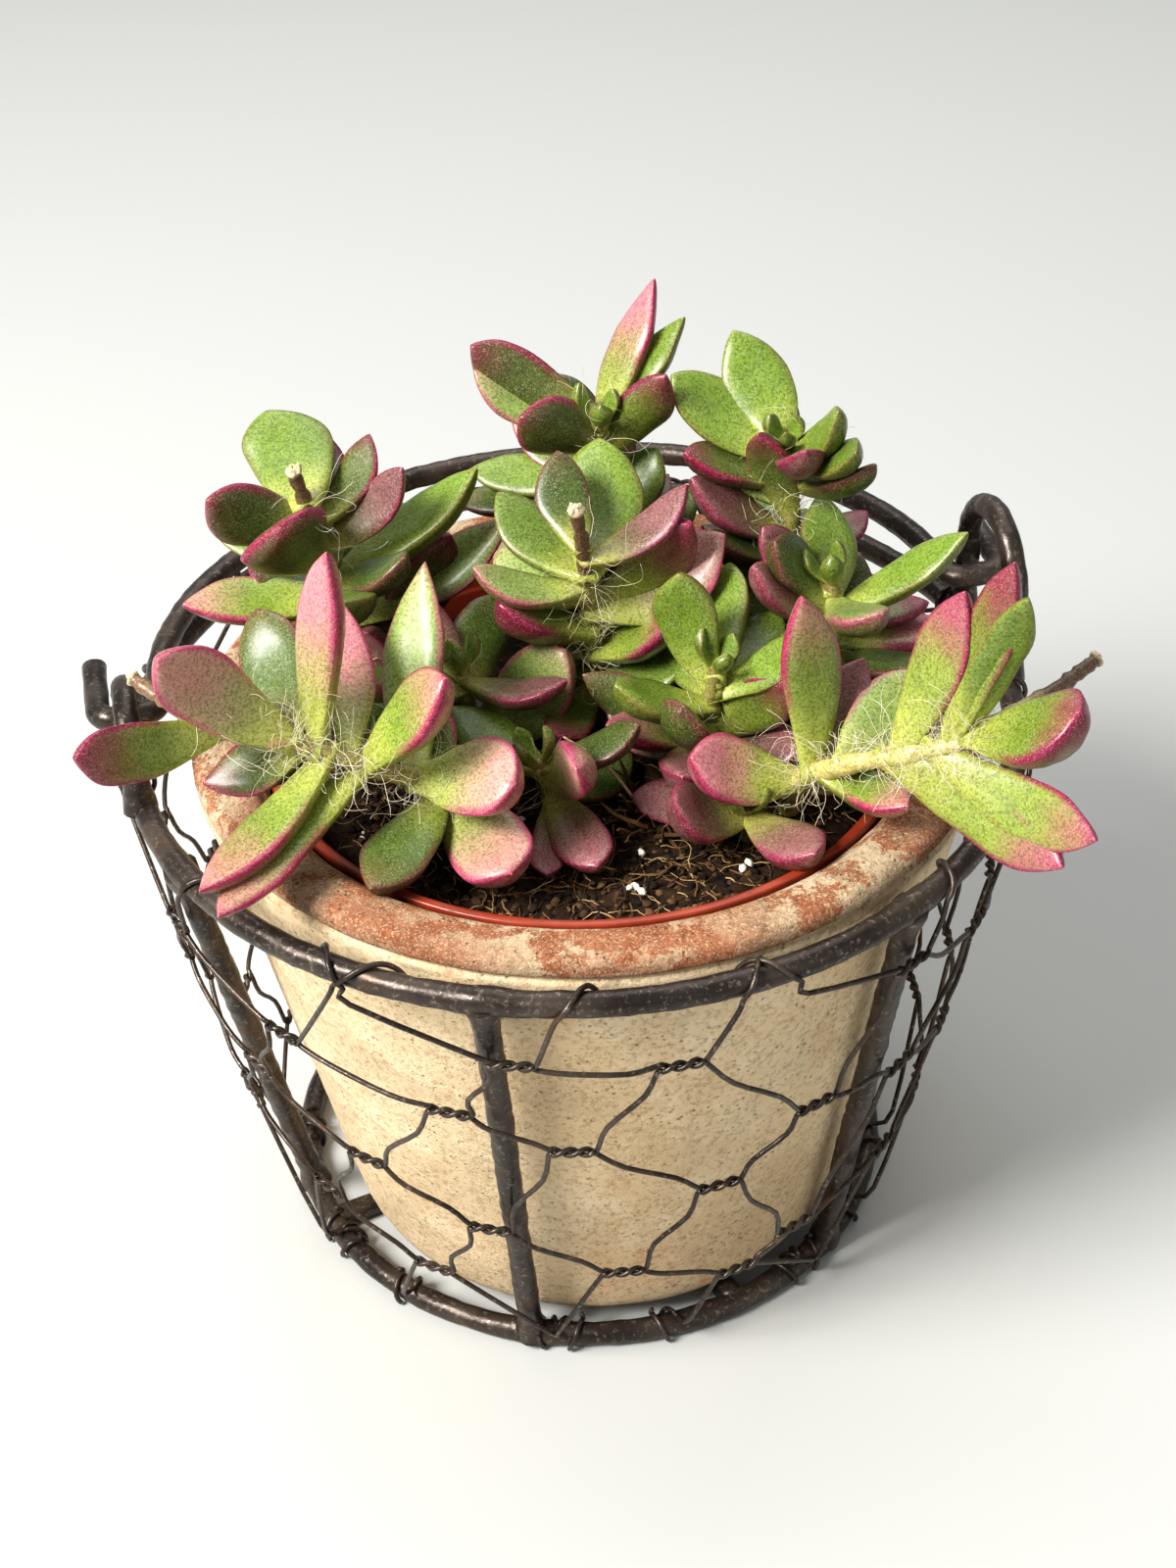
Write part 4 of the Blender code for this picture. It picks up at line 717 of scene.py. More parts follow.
def leaf_finish():
    n = Nodes("leaf_flesh")
    place = n.parts(n.mark("place").outputs["Vector"])
    amount = n.parts(n.mark("amount").outputs["Vector"])
    flesh = n.mark("flesh").outputs["Color"]
    blotch = n.noise(230, 5, 0.6)
    grain = n.noise(2300, 4, 0.7)
    shift = n.math("MULTIPLY", n.math("SUBTRACT", blotch, 0.5), 0.34)
    peppered = n.math("MULTIPLY", n.math("SUBTRACT", grain, 0.5), 0.42)
    run = n.math("ADD", n.math("ADD", place[0], shift), peppered)
    pale_base = n.mix(0.55, flesh, linear((208, 206, 104)))
    green = n.mix(n.ramp(place[0], 0.02, 0.5), pale_base, flesh)
    green = n.mix(n.ramp(blotch, 0.4, 0.7, 0, 0.4), green, n.mix(1.0, green, linear((190, 205, 160)), "MULTIPLY"))
    rosy = n.ramp(run, amount[0], n.math("ADD", amount[0], amount[1]))
    rosy = n.math("MULTIPLY", rosy, n.math("MINIMUM", n.math("MULTIPLY", amount[2], 1.3), 0.92))
    colour = n.mix(rosy, green, n.mark("blush").outputs["Color"])
    edge = n.ramp(n.math("ADD", place[1], n.math("MULTIPLY", peppered, 0.2)), 0.76, 0.98)
    edge = n.math("MULTIPLY", edge, n.ramp(n.math("ADD", place[0], shift), 0.22, 0.6))
    tip = n.ramp(place[0], 0.92, 1.0, 0, 0.7)
    edge = n.math("MULTIPLY", n.math("MAXIMUM", edge, tip), amount[2])
    colour = n.mix(edge, colour, n.mark("margin").outputs["Color"])
    under = n.ramp(place[2], 0.0, -0.5, 0, 0.5)
    colour = n.mix(under, colour, n.mix(1.0, colour, linear((190, 176, 158)), "MULTIPLY"))
    bloom = n.mix(0.45, colour, linear((226, 220, 186)))
    dots = n.ramp(n.cells(3400), 0.46, 0.2)
    dots = n.math("MULTIPLY", dots, n.ramp(n.noise(420, 3), 0.3, 0.62, 0.16, 0.62))
    colour = n.mix(dots, colour, bloom)
    colour = n.mix(n.ramp(grain, 0.55, 0.38, 0, 0.62), colour, n.mix(1.0, colour, linear((136, 130, 104)), "MULTIPLY"))
    skin = n.bump(n.noise(2600, 3), 0.00006, 0.4)
    n.set(
        Base_Color=colour,
        Roughness=n.ramp(blotch, 0.3, 0.7, 0.34, 0.52),
        Normal=n.bump(n.noise(420, 3), 0.00025, 0.35, skin),
        Subsurface_Weight=0.1,
        Subsurface_Radius=(0.9, 0.7, 0.25),
        Subsurface_Scale=0.0014,
        Coat_Weight=0.22,
        Coat_Roughness=0.18,
    )
    return n.made


def hair_finish():
    n = Nodes("white_hair")
    colour = n.mix(n.ramp(n.noise(300, 2), 0.35, 0.7), linear((236, 232, 214)), linear((214, 200, 160)))
    n.set(Base_Color=colour, Roughness=0.6)
    return n.made


def floor_finish():
    n = Nodes("pale_floor")
    n.set(Base_Color=linear((190, 191, 188)), Roughness=0.75)
    return n.made


# ---- Basket ----


def ring_path(radius, height, steps):
    return [on_ring(radius, height, 360 * k / steps) for k in range(steps)]


def weld_radius(path, ends, reach, swell):
    """The rod's radius along a path, swollen where it is welded at its ends."""
    path = array(path)
    run = np.concatenate([[0], np.cumsum(np.linalg.norm(np.diff(path, axis=0), axis=1))])
    radius = np.full(len(path), ROD)
    for end in ends:
        away = run if end == 0 else run[-1] - run
        radius *= 1 + swell * np.exp(-((away / reach) ** 2))
    return radius


def ring_radius(radius, steps, welds, swell):
    """The radius of a ring's rod, swollen at each weld, whose places are in degrees."""
    at = 360 * np.arange(steps) / steps
    wide = np.full(steps, ROD)
    for weld in welds:
        away = ((at - weld + 180) % 360 - 180) * math.pi / 180 * radius
        wide *= 1 + swell * np.exp(-((away / 3.6) ** 2))
    return wide


def make_basket(steel):
    for end, (name, radius, height, steps) in enumerate(
        (("top_ring", TOP_RING, TOP_RING_Z, 280), ("base_ring", BASE_RING, BASE_RING_Z, 220))
    ):
        skin = Skin()
        welds = [ends[end] for ends in UPRIGHT_ENDS]
        wide = ring_radius(radius, steps, welds, 0.14)
        add_tube(skin, ring_path(radius, height, steps), wide, 20, closed=True, rough=0.1)
        skin.piece(f"{name}_rod", steel, replaces=[name])
    for number, (top, base) in enumerate(UPRIGHT_ENDS, 1):
        ends = [on_ring(BASE_RING, BASE_RING_Z, base), on_ring(TOP_RING, TOP_RING_Z, top)]
        path = [ends[0].lerp(ends[1], k / 60) for k in range(61)]
        skin = Skin()
        add_tube(skin, path, weld_radius(path, (0, 1), 3.6, 0.42), 18, rough=0.14, seed=number)
        skin.piece(f"upright_rod_{number}", steel, replaces=[f"upright_{number}"])
    skin = Skin()
    for number, degrees in enumerate(CROSS_AT):
        end = on_ring(BASE_RING, BASE_RING_Z, degrees)
        path = [(-end + 2 * UP * BASE_RING_Z).lerp(end, k / 60) for k in range(61)]
        add_tube(skin, path, weld_radius(path, (0, 1), 3.6, 0.2), 18, rough=0.1, seed=20 + number)
    skin.piece("base_cross_rods", steel, replaces=["base_cross"])
    back = hinge_back()
    for side, eye in EYES.items():
        foot = on_ring(TOP_RING, TOP_RING_Z, eye.degrees)
        arch_z = eye.top_z - EYE_HALF - TOP_RING_Z
        corners = [foot - back * EYE_HALF]
        for step in range(25):
            turn = math.pi * step / 24
            corners.append(foot + UP * (arch_z + EYE_HALF * math.sin(turn)) - back * EYE_HALF * math.cos(turn))
        corners.append(foot + back * EYE_HALF)
        path = smooth_path(corners, 3)
        skin = Skin()
        add_tube(skin, path, weld_radius(path, (0, 1), 3.2, 0.4), 18, rough=0.1, seed=30)
        skin.piece(f"eye_{side}_rod", steel, replaces=[f"eye_{side}"])


def bail_path():
    middle, along, half = hinge()
    back = hinge_back()
    reach = TOP_RING - middle.dot(back)
    drop = math.asin((middle.z - BAIL_REST_Z) / reach)
    lie = back * math.cos(drop) - UP * math.sin(drop)
    inner = half - ARM_CLEAR
    outer = half + ARM_CLEAR

    def hook(sign):
        bend = HOOK_BEND
        spots = [(outer, HOOK_END), (outer, HOOK_END / 2), (outer, bend)]
        for step in (1, 2):
            turn = math.radians(30 * step)
            spots.append((outer - bend * (1 - math.cos(turn)), bend * (1 - math.sin(turn))))
        spots += [(outer - bend, 0), (inner + bend, 0)]
        for step in (1, 2):
            turn = math.radians(30 * step)
            spots.append((inner + bend * (1 - math.sin(turn)), bend * (1 - math.cos(turn))))
        spots.append((inner, bend))
        return [middle + sign * along * across + lie * deep for across, deep in spots]

    bow = []
    for step in range(1, 48):
        turn = math.pi * step / 48
        deep = HOOK_BEND + (reach - HOOK_BEND) * math.sin(turn)
        bow.append(middle + along * inner * math.cos(turn) + lie * deep)
    return hook(1) + bow + hook(-1)[::-1]


def make_bail(steel):
    skin = Skin()
    add_tube(skin, smooth_path(bail_path(), 4), ROD, 18, rough=0.1, seed=40)
    skin.piece("bail_rod", steel, HANDLE, ["bail"])


# ---- Netting ----


def net_lean():
    return math.atan2(TOP_RING - BASE_RING, TOP_RING_Z - BASE_RING_Z)


def on_net(degrees, slope_mm, off=NET_OFF):
    lean = net_lean()
    radius = BASE_RING + slope_mm * math.sin(lean) + off * math.cos(lean)
    height = BASE_RING_Z + slope_mm * math.cos(lean) - off * math.sin(lean)
    return on_ring(radius, height, degrees)


def seen_on_net(spot):
    line = sight(spot)
    lean = net_lean()
    near, far = 200.0, LENS.y / -line.y
    for _ in range(50):
        reach = (near + far) / 2
        point = LENS + line * reach
        wall = BASE_RING + NET_OFF / math.cos(lean) + (point.z - BASE_RING_Z) * math.tan(lean)
        if math.hypot(point.x, point.y) > wall:
            near = reach
        else:
            far = reach
    slope_mm = (point.z - BASE_RING_Z + NET_OFF * math.sin(lean)) / math.cos(lean)
    return math.degrees(math.atan2(point.y, point.x)), slope_mm


def twist_places():
    seen = {place: seen_on_net(spot) for place, spot in SEEN_TWISTS.items()}
    first = seen[(0, 0)]

    def by_rule(i, j):
        return (
            first[0] + i * NET_ACROSS[0] + j * NET_UP[0],
            first[1] + i * NET_ACROSS[1] + j * NET_UP[1],
        )

    shifts = {}
    for place, (degrees, slope_mm) in seen.items():
        ruled = by_rule(*place)
        shifts[place] = (degrees - ruled[0], slope_mm - ruled[1])
    places = {}
    for i in range(-NET_ROUND[0], NET_ROUND[0]):
        for j in range(-NET_ROUND[0], NET_ROUND[0]):
            degrees, slope_mm = by_rule(i, j)
            if not first[0] - 180 <= degrees - 0.5 * NET_UP[0] < first[0] + 180:
                continue
            pull = {
                place: math.exp(-((i - place[0]) ** 2 + (j - place[1]) ** 2) / (2 * NET_SPREAD**2))
                for place in shifts
            }
            total = sum(pull.values()) + NET_HOLD
            if (i, j) in seen:
                places[i, j] = seen[i, j]
                continue
            degrees += sum(share * shifts[place][0] for place, share in pull.items()) / total
            slope_mm += sum(share * shifts[place][1] for place, share in pull.items()) / total
            places[i, j] = (degrees, slope_mm)
    return {place: spot for place, spot in places.items() if NET_LOW <= spot[1] <= NET_HIGH}


def find_twist(places, i, j):
    for turn in (-1, 0, 1):
        place = (i + turn * NET_ROUND[0], j + turn * NET_ROUND[1])
        if place in places:
            return place
    return None


def path_slope(top):
    return (TOP_RING_Z - BASE_RING_Z) / math.cos(net_lean()) - 3.0 if top else 6.0


def rods_at(top):
    if not top:
        return [base for _, base in UPRIGHT_ENDS] + [at + half for at in CROSS_AT for half in (0, 180)]
    found = []
    for eye in EYES.values():
        for back in (-EYE_HALF, HINGE_BACK, EYE_HALF):
            spot = on_ring(TOP_RING, 0, eye.degrees) + hinge_back() * back
            found.append(math.degrees(math.atan2(spot.y, spot.x)))
    return found


def clear_of_rods(degrees, top):
    aside = math.degrees(HOOK_ASIDE / (TOP_RING if top else BASE_RING))
    for _ in range(3):
        for at in rods_at(top):
            away = (degrees - at + 180) % 360 - 180
            if abs(away) < aside:
                degrees += math.copysign(aside, away) - away
    return degrees


def twist_wire(spot, rising):
    """One of the two wires of a twist, from its left end to its right end, after one and a half turns."""
    degrees, slope_mm = spot
    turn = math.degrees(TWIST_HALF / on_net(degrees, slope_mm).xy.length)
    start = -0.5 * math.pi if rising else 0.5 * math.pi
    path = []
    for step in range(11):
        t = 2 * step / 10 - 1
        wind = start + 1.5 * math.pi * (t + 1)
        swing = WIRE_HALF * (1.1 + 0.7 * abs(t) ** 3)  # the wires part towards both ends
        off = NET_OFF + WIRE_HALF * 1.05 * math.cos(wind)
        path.append(on_net(degrees + t * turn, slope_mm + swing * math.sin(wind), off))
    return path


def hook_wire(spot, sign, reach, draw):
    """From a twist to a ring, and round it. Starts at the twist."""
    top = reach[1] > 0
    run = abs((path_slope(top) - spot[1]) / reach[1])
    degrees = clear_of_rods(spot[0] + min(run, 1.0) * reach[0], top)
    ring, height = (TOP_RING, TOP_RING_Z) if top else (BASE_RING, BASE_RING_Z)
    begin, end = (-25, 222) if top else (70, 212)
    path = [on_net(degrees - sign * 0.8, path_slope(top), NET_OFF)]
    steps = 9 if top else 7
    lean = draw.uniform(5.0, 9.0) if top else draw.uniform(1.6, 3.0)
    if top and clear_of_rods(degrees + sign * lean, top) != degrees + sign * lean:
        lean = 2.0
    for step in range(steps + 1):
        share = step / steps
        turn = math.radians(begin + share * (end - begin))
        at = degrees + sign * share * lean
        centre = on_ring(ring, height, at)
        path.append(centre + on_ring(HOOK_OFF * math.cos(turn), 0, at) + UP * HOOK_OFF * math.sin(turn))
    return path


def base_tail(degrees, sign, draw):
    """The end of a wire that comes up round the outside of the base ring and stands off it."""
    path = []
    for step in range(9):
        turn = math.radians(-30 + 150 * step / 8)
        at = degrees + sign * (2.2 + 0.3 * step)
        centre = on_ring(BASE_RING, BASE_RING_Z, at)
        path.append(centre + on_ring(HOOK_OFF * math.cos(turn), 0, at) + UP * HOOK_OFF * math.sin(turn))
    last = path[-1]
    out = on_ring(1, 0, degrees)
    path.append(last + out * draw.uniform(0.6, 1.6) + UP * draw.uniform(0.8, 2.2))
    return path


def make_net(steel):
    """Every wire runs slantwise from ring to ring, and twists round each wire that it meets."""
    places = twist_places()
    draw = random.Random(11)
    skin = Skin()
    for rising, step, reach in ((False, (1, 0), NET_ACROSS), (True, (0, 1), NET_UP)):
        starts = [place for place in places if not find_twist(places, place[0] - step[0], place[1] - step[1])]
        for place in sorted(starts):
            spot = places[place]
            path = hook_wire(spot, -1, (-reach[0], -reach[1]), draw)[::-1]
            while place:
                spot = places[place]
                wound = twist_wire(spot, rising)
                path += wound
                after = find_twist(places, place[0] + step[0], place[1] + step[1])
                if after:
                    ahead = places[after]
                    far = ahead[0] - 360 * round((ahead[0] - spot[0]) / 360)
                    sag = draw.uniform(-0.7, 0.7)
                    for share in (0.33, 0.67):
                        path.append(
                            on_net(
                                spot[0] + (far - spot[0]) * share,
                                spot[1] + (ahead[1] - spot[1]) * share + sag,
                                NET_OFF + draw.uniform(-0.1, 0.5),
                            )
                        )
                place = after
            path += hook_wire(spot, 1, reach, draw)
            add_tube(skin, smooth_path(path, 3), WIRE_HALF, 7)
    for place, spot in sorted(places.items()):
        for step, reach in (((1, 0), NET_ACROSS), ((0, -1), (-NET_UP[0], -NET_UP[1]))):
            if reach[1] < 0 and not find_twist(places, place[0] + step[0], place[1] + step[1]):
                run = abs((path_slope(False) - spot[1]) / reach[1])
                degrees = clear_of_rods(spot[0] + min(run, 1.0) * reach[0], False)
                sign = 1 if reach[0] > 0 else -1
                add_tube(skin, smooth_path(base_tail(degrees, sign, draw), 3), WIRE_HALF, 7)
    skin.piece("netting_wires", steel, replaces=["wire_netting"])


# ---- Pots and soil ----


def make_terracotta_pot(clay):
    top = POT_TOP_Z
    floor = POT_FOOT_Z + 6.0
    profile = [
        (DRAIN, POT_FOOT_Z),
        (POT_FOOT - 0.6, POT_FOOT_Z),
        (POT_FOOT + 0.4, POT_FOOT_Z + 2.4),
        (POT_RIM - 0.9, top - 7.0),
        (POT_RIM - 0.2, top - 4.6),
        (POT_RIM - 0.9, top - 3.6),
        (POT_RIM, top - 2.9),
        (POT_RIM - 0.2, top - 1.2),
        (POT_RIM - 1.4, top),
        (POT_RIM - 6.6, top),
        (RIM_IN + 2.4, top - 0.6),
        (RIM_IN + 1.2, top - 2.2),
        (RIM_IN, top - 3.0),
        (RIM_IN - 0.4, top - 14.0),
        (POT_FOOT - 5.0, floor + 3.0),
        (POT_FOOT - 8.0, floor),
        (DRAIN, floor),
    ]
    profile = split_long(rounded(profile, 1.3, 3), 2.2)

    def wobble(turn, radius, height):
        made = np.zeros_like(radius)
        for row in range(radius.shape[0]):
            x, y = math.cos(turn[row, 0]) * 5, math.sin(turn[row, 0]) * 5
            for column in range(radius.shape[1]):
                spot = Vector((x, y, height[row, column] * 0.09 + radius[row, column] * 0.02))
                made[row, column] = 0.2 * noise.noise(spot) + 0.12 * noise.noise(spot * 4)
        return made

    skin = Skin()
    add_turned(skin, profile, 180, POT_AXIS, wobble)
    skin.piece("terracotta_pot_clay", clay, replaces=["terracotta_pot"])


def make_nursery_pot(plastic):
    top = INNER_LIP_Z
    collar = top - 8.0
    low = INNER_LOW
    wall = INNER_WALL
    profile = [
        (0.5, low),
        (INNER_FOOT, low),
        (INNER_LIP - 3.6, collar),
        (INNER_LIP - 1.2, collar),
        (INNER_LIP - 0.6, top - 1.8),
        (INNER_LIP, top - 1.4),
        (INNER_LIP, top),
        (INNER_LIP - 1.5, top),
        (INNER_LIP - 1.7, top - 1.3),
        (INNER_LIP - 2.6, top - 1.5),
        (INNER_LIP - 2.9, top - 3.4),
        (INNER_LIP - 3.4, top - 3.8),
        (INNER_LIP - 4.3, collar),
        (INNER_FOOT - wall, low + wall),
        (0.5, low + wall),
    ]
    skin = Skin()
    add_turned(skin, rounded(profile, 0.35, 2), 160, POT_AXIS)
    skin.piece("nursery_pot_plastic", plastic, replaces=["nursery_pot"])


def soil_height(x, y):
    spot = Vector((x * 0.11, y * 0.11, 3.0))
    rough = 0.8 * noise.noise(spot) + 0.75 * noise.noise(spot * 3.1) + 0.45 * noise.noise(spot * 8.3)
    edge = max(0.0, math.hypot(x - POT_AXIS.x, y - POT_AXIS.y) - 41.0)
    return SOIL_Z + rough + 0.25 * noise.noise(spot * 22) - 0.02 * edge**2


def make_soil(earth, litter):
    skin = Skin()
    rings, steps = 70, 190
    points = []
    for k in range(rings):
        radius = SOIL_BRIM * (k + 0.02) / (rings - 1)
        for n in range(steps):
            turn = 2 * math.pi * n / steps
            x, y = POT_AXIS.x + radius * math.cos(turn), POT_AXIS.y + radius * math.sin(turn)
            points.append((x, y, soil_height(x, y)))
    low = []
    for radius, height in ((SOIL_BRIM, 86.0), (INNER_FOOT - 1.2, INNER_LOW + 1.2)):
        for n in range(steps):
            turn = 2 * math.pi * n / steps
            low.append((POT_AXIS.x + radius * math.cos(turn), POT_AXIS.y + radius * math.sin(turn), height))
    ends = [list(range(steps))[::-1], list(range((rings + 1) * steps, (rings + 2) * steps))]
    skin.add(points + low, grid_quads(rings + 2, steps), ends)
    skin.piece("soil_peat", earth, replaces=["soil"])
    make_litter(litter)


def soil_spot(draw, front=False):
    while True:
        x = draw.uniform(-SOIL_BRIM, SOIL_BRIM)
        y = draw.uniform(-SOIL_BRIM, -10 if front else SOIL_BRIM)
        if math.hypot(x, y) < SOIL_BRIM - 1.5:
            x += POT_AXIS.x
            y += POT_AXIS.y
            return Vector((x, y, soil_height(x, y)))


def add_chip(skin, draw, spot, size, colour):
    """A flattened crumb of bark, peat or perlite."""
    turn = Matrix.Rotation(draw.uniform(0, 6.28), 3, "Z") @ Matrix.Rotation(draw.uniform(-0.6, 0.6), 3, "X")
    long, flat = draw.uniform(0.7, 1.5), draw.uniform(0.35, 0.8)
    points = []
    for level, ring in ((-0.8, 0.55), (-0.2, 1.0), (0.35, 0.9), (0.85, 0.45)):
        for n in range(6):
            a = 2 * math.pi * (n + 0.5 * level) / 6
            wide = ring * draw.uniform(0.75, 1.2)
            points.append(spot + turn @ (Vector((math.cos(a) * wide * long, math.sin(a) * wide, level * flat)) * size))
    ends = [list(range(6))[::-1], list(range(18, 24))]
    skin.add(array(points), grid_quads(4, 6), ends, tint=colour)


def add_thread(skin, draw, spot, length, radius, colour, lift=0.25, curl=0.35, sides=4, steps=9, heading=None):
    """A crooked fibre that starts at a point, and lies or arches."""
    heading = draw.uniform(0, 2 * math.pi) if heading is None else heading
    rise = draw.uniform(-0.1, lift)
    point = spot.copy()
    path = [point.copy()]
    for step in range(steps):
        heading += draw.gauss(0, curl)
        rise += draw.gauss(-0.05, curl * 0.5)
        point = point + Vector((math.cos(heading), math.sin(heading), rise)) * length / steps
        floor = soil_height(point.x, point.y) + radius * 0.5
        if lift < 1 and point.z < floor:
            point.z = floor
        path.append(point.copy())
    taper = radius * (1 - 0.5 * np.linspace(0, 1, len(path)) ** 2)
    add_tube(skin, path, taper, sides, tint=colour)


def make_litter(litter):
    draw = random.Random(5)
    skin = Skin()
    darks = [linear(c) for c in ((34, 25, 18), (52, 38, 26), (74, 55, 38), (98, 74, 50), (26, 20, 16))]
    tans = [linear(c) for c in ((138, 108, 70), (110, 82, 52), (176, 148, 104), (88, 64, 42))]
    for number in range(1500):
        spot = soil_spot(draw, number % 3 > 0)
        add_chip(skin, draw, spot + UP * draw.uniform(-0.2, 0.4), draw.uniform(0.25, 0.85), draw.choice(darks))
    for number in range(620):
        spot = soil_spot(draw, number % 3 > 0)
        add_thread(skin, draw, spot + UP * 0.2, draw.uniform(2.5, 9), draw.uniform(0.07, 0.2), draw.choice(tans))
    for number in range(14):
        spot = soil_spot(draw, True)
        add_chip(skin, draw, spot + UP * 0.4, draw.uniform(0.3, 0.8), linear((232, 226, 212)))
    for spot in ((655, 870), (655, 910), (765, 880), (700, 855), (758, 886), (648, 905)):
        add_chip(skin, draw, at_height(spot, SOIL_Z + 0.8), draw.uniform(0.6, 1.0), linear((238, 233, 220)))
    straw = linear((206, 186, 140))
    for spot, tip in (((662, 835), (575, 752)), ((652, 822), (587, 767))):
        foot, end = at_height(spot, SOIL_Z), at_height(tip, SOIL_Z + 17)
        middle = foot.lerp(end, 0.5) + UP * 2.5
        add_tube(skin, smooth_path([foot, middle, end], 8), np.linspace(0.3, 0.16, 17), 6, tint=straw)
    for number in range(26):
        spot = at_height((draw.uniform(640, 700), draw.uniform(815, 862)), SOIL_Z)
        colour = draw.choice(tans + darks[2:4])
        add_thread(skin, draw, spot, draw.uniform(5, 11), draw.uniform(0.2, 0.5), colour, 1.6, 0.3)
    skin.piece("soil_litter", litter)


# ---- Stems and leaves ----


def stem_path(shoot):
    return smooth_path([at_height(spot[:2], spot[2]) for spot in shoot.stem], 2)


def nearest_on_stem(path, spot):
    line = sight(spot)
    best = None
    for a, b in zip(path, path[1:]):
        for step in range(5):
            point = a.lerp(b, step / 4)
            off = (point - LENS).cross(line).length
            if best is None or off < best[0]:
                best = (off, point, (b - a).normalized())
    return best[1], best[2]


def leaf_ends(path, leaf):
    root, grows = nearest_on_stem(path, leaf.root)
    line = sight(leaf.tip)
    along = (root - LENS).dot(line)
    off = (root - LENS - line * along).length
    deep = math.sqrt(max(0.0, leaf.long**2 - off**2))
    return root, LENS + line * (along + leaf.side * deep), grows


def leaf_facing(root, tip, grows, to_light=0.0):
    ahead = (tip - root).normalized()
    facing = grows + UP * 0.5 + (LENS - root).normalized() * to_light
    return (facing - ahead * facing.dot(ahead)).normalized()


def coarse_half_width(share):
    widest = 0.58
    if share < widest:
        return 0.36 + 0.64 * math.sin(0.5 * math.pi * share / widest)
    return math.sqrt(max(0.0, 1 - ((share - widest) / (1 - widest)) ** 2.4))


class Crowd:
    """Balls along every leaf and stem so far, which show where another leaf has room."""

    def __init__(self):
        self.balls = []
        self.shown = []

    def leaf_balls(self, root, tip, wide):
        return [(root.lerp(tip, share), 0.42 * wide * coarse_half_width(share)) for share in (0.35, 0.6, 0.8, 0.95)]

    def add(self, owner, balls, shown=False):
        self.balls += [(owner, point, radius) for point, radius in balls]
        if shown:
            self.shown += balls

    def hides(self, balls):
        """Whether a leaf would stand between the lens and one that the picture shows."""
        for point, radius in balls:
            near = (point - LENS).length
            for spot, wide in self.shown:
                far = (spot - LENS).length
                line = (spot - LENS) / far
                off = (point - LENS - line * (point - LENS).dot(line)).length
                if near < far and off < 0.85 * (radius + wide):
                    return True
        return False

    def has_room(self, owner, balls, crush=1.0):
        for point, radius in balls:
            if not in_reach(point, radius):
                return False
            for other, spot, wide in self.balls:
                need = (radius + wide) * 0.75 if other == owner else radius + wide + LEAF_ROOM
                if (point - spot).length < need * crush:
                    return False
        return True


def in_reach(point, radius):
    if point.z < SOIL_Z + SOIL_LUMP + radius * 0.8:
        return False
    off_axis = (point - POT_AXIS).xy.length
    if point.z < POT_TOP_Z + 1 + radius and off_axis > RIM_IN - 3 - radius:
        return False
    middle, along, half = hinge()
    across = (point - middle).dot(along)
    away = (point - middle - along * across).length
    spare = 2.0 + radius + 2.0
    inner = half - ARM_CLEAR - spare
    return (across / inner) ** 2 + (away / (TOP_RING - spare - 2)) ** 2 < 1 and point.y > FRONT_SOIL


def hidden_leaves(crowd, owner, path, count):
    draw = random.Random(owner)
    above = [point for point in path if point.z > SOIL_Z + 3]
    made = []
    for number in range(HIDDEN_TRIES):
        if len(made) == count:
            break
        place = draw.uniform(0.0, 0.8) * (len(above) - 1)
        k = min(int(place), len(above) - 2)
        root = above[k].lerp(above[k + 1], place - k)
        grows = (above[k + 1] - above[k]).normalized()
        heading = math.radians(number * GOLDEN_TURN)
        rise = math.radians(draw.uniform(8, 40))
        level = math.cos(rise)
        ahead = Vector((math.cos(heading) * level, math.sin(heading) * level, math.sin(rise)))
        tip = root + ahead * HIDDEN_LONG * draw.uniform(0.85, 1.15)
        wide = HIDDEN_WIDE * draw.uniform(0.9, 1.2)
        balls = crowd.leaf_balls(root, tip, wide)
        if crowd.has_room(owner, balls):
            crowd.add(owner, balls)
            look = HIDDEN_LOOKS[number % len(HIDDEN_LOOKS)]
            made.append((root, tip, wide, leaf_facing(root, tip, grows), look, 0, 0.4))
    return made


def filler_leaves(crowd, owner, path, count):
    """Smaller leaves that close the gaps low in the crown, past what the part's solids hold."""
    draw = random.Random(owner + "_filler")
    above = [point for point in path if point.z > SOIL_Z + 2]
    made = []
    for number in range(FILLER_TRIES):
        if len(made) == count:
            break
        place = draw.uniform(0.0, 0.85) * (len(above) - 1)
        k = min(int(place), len(above) - 2)
        root = above[k].lerp(above[k + 1], place - k)
        grows = (above[k + 1] - above[k]).normalized()
        heading = draw.uniform(0, 2 * math.pi)
        rise = math.radians(draw.uniform(5, 62))
        level = math.cos(rise)
        ahead = Vector((math.cos(heading) * level, math.sin(heading) * level, math.sin(rise)))
        tip = root + ahead * draw.uniform(14, 21)
        wide = draw.uniform(7.5, 10.0)
        balls = crowd.leaf_balls(root, tip, wide)
        if crowd.has_room(owner, balls, 0.62) and not crowd.hides(balls):
            crowd.add(owner, balls)
            look = draw.choice(("dark", "green", "pale", "mauve", "green", "magenta"))
            made.append((root, tip, wide, leaf_facing(root, tip, grows, FACE_LIGHT), look, 0, 0.5))
    return made


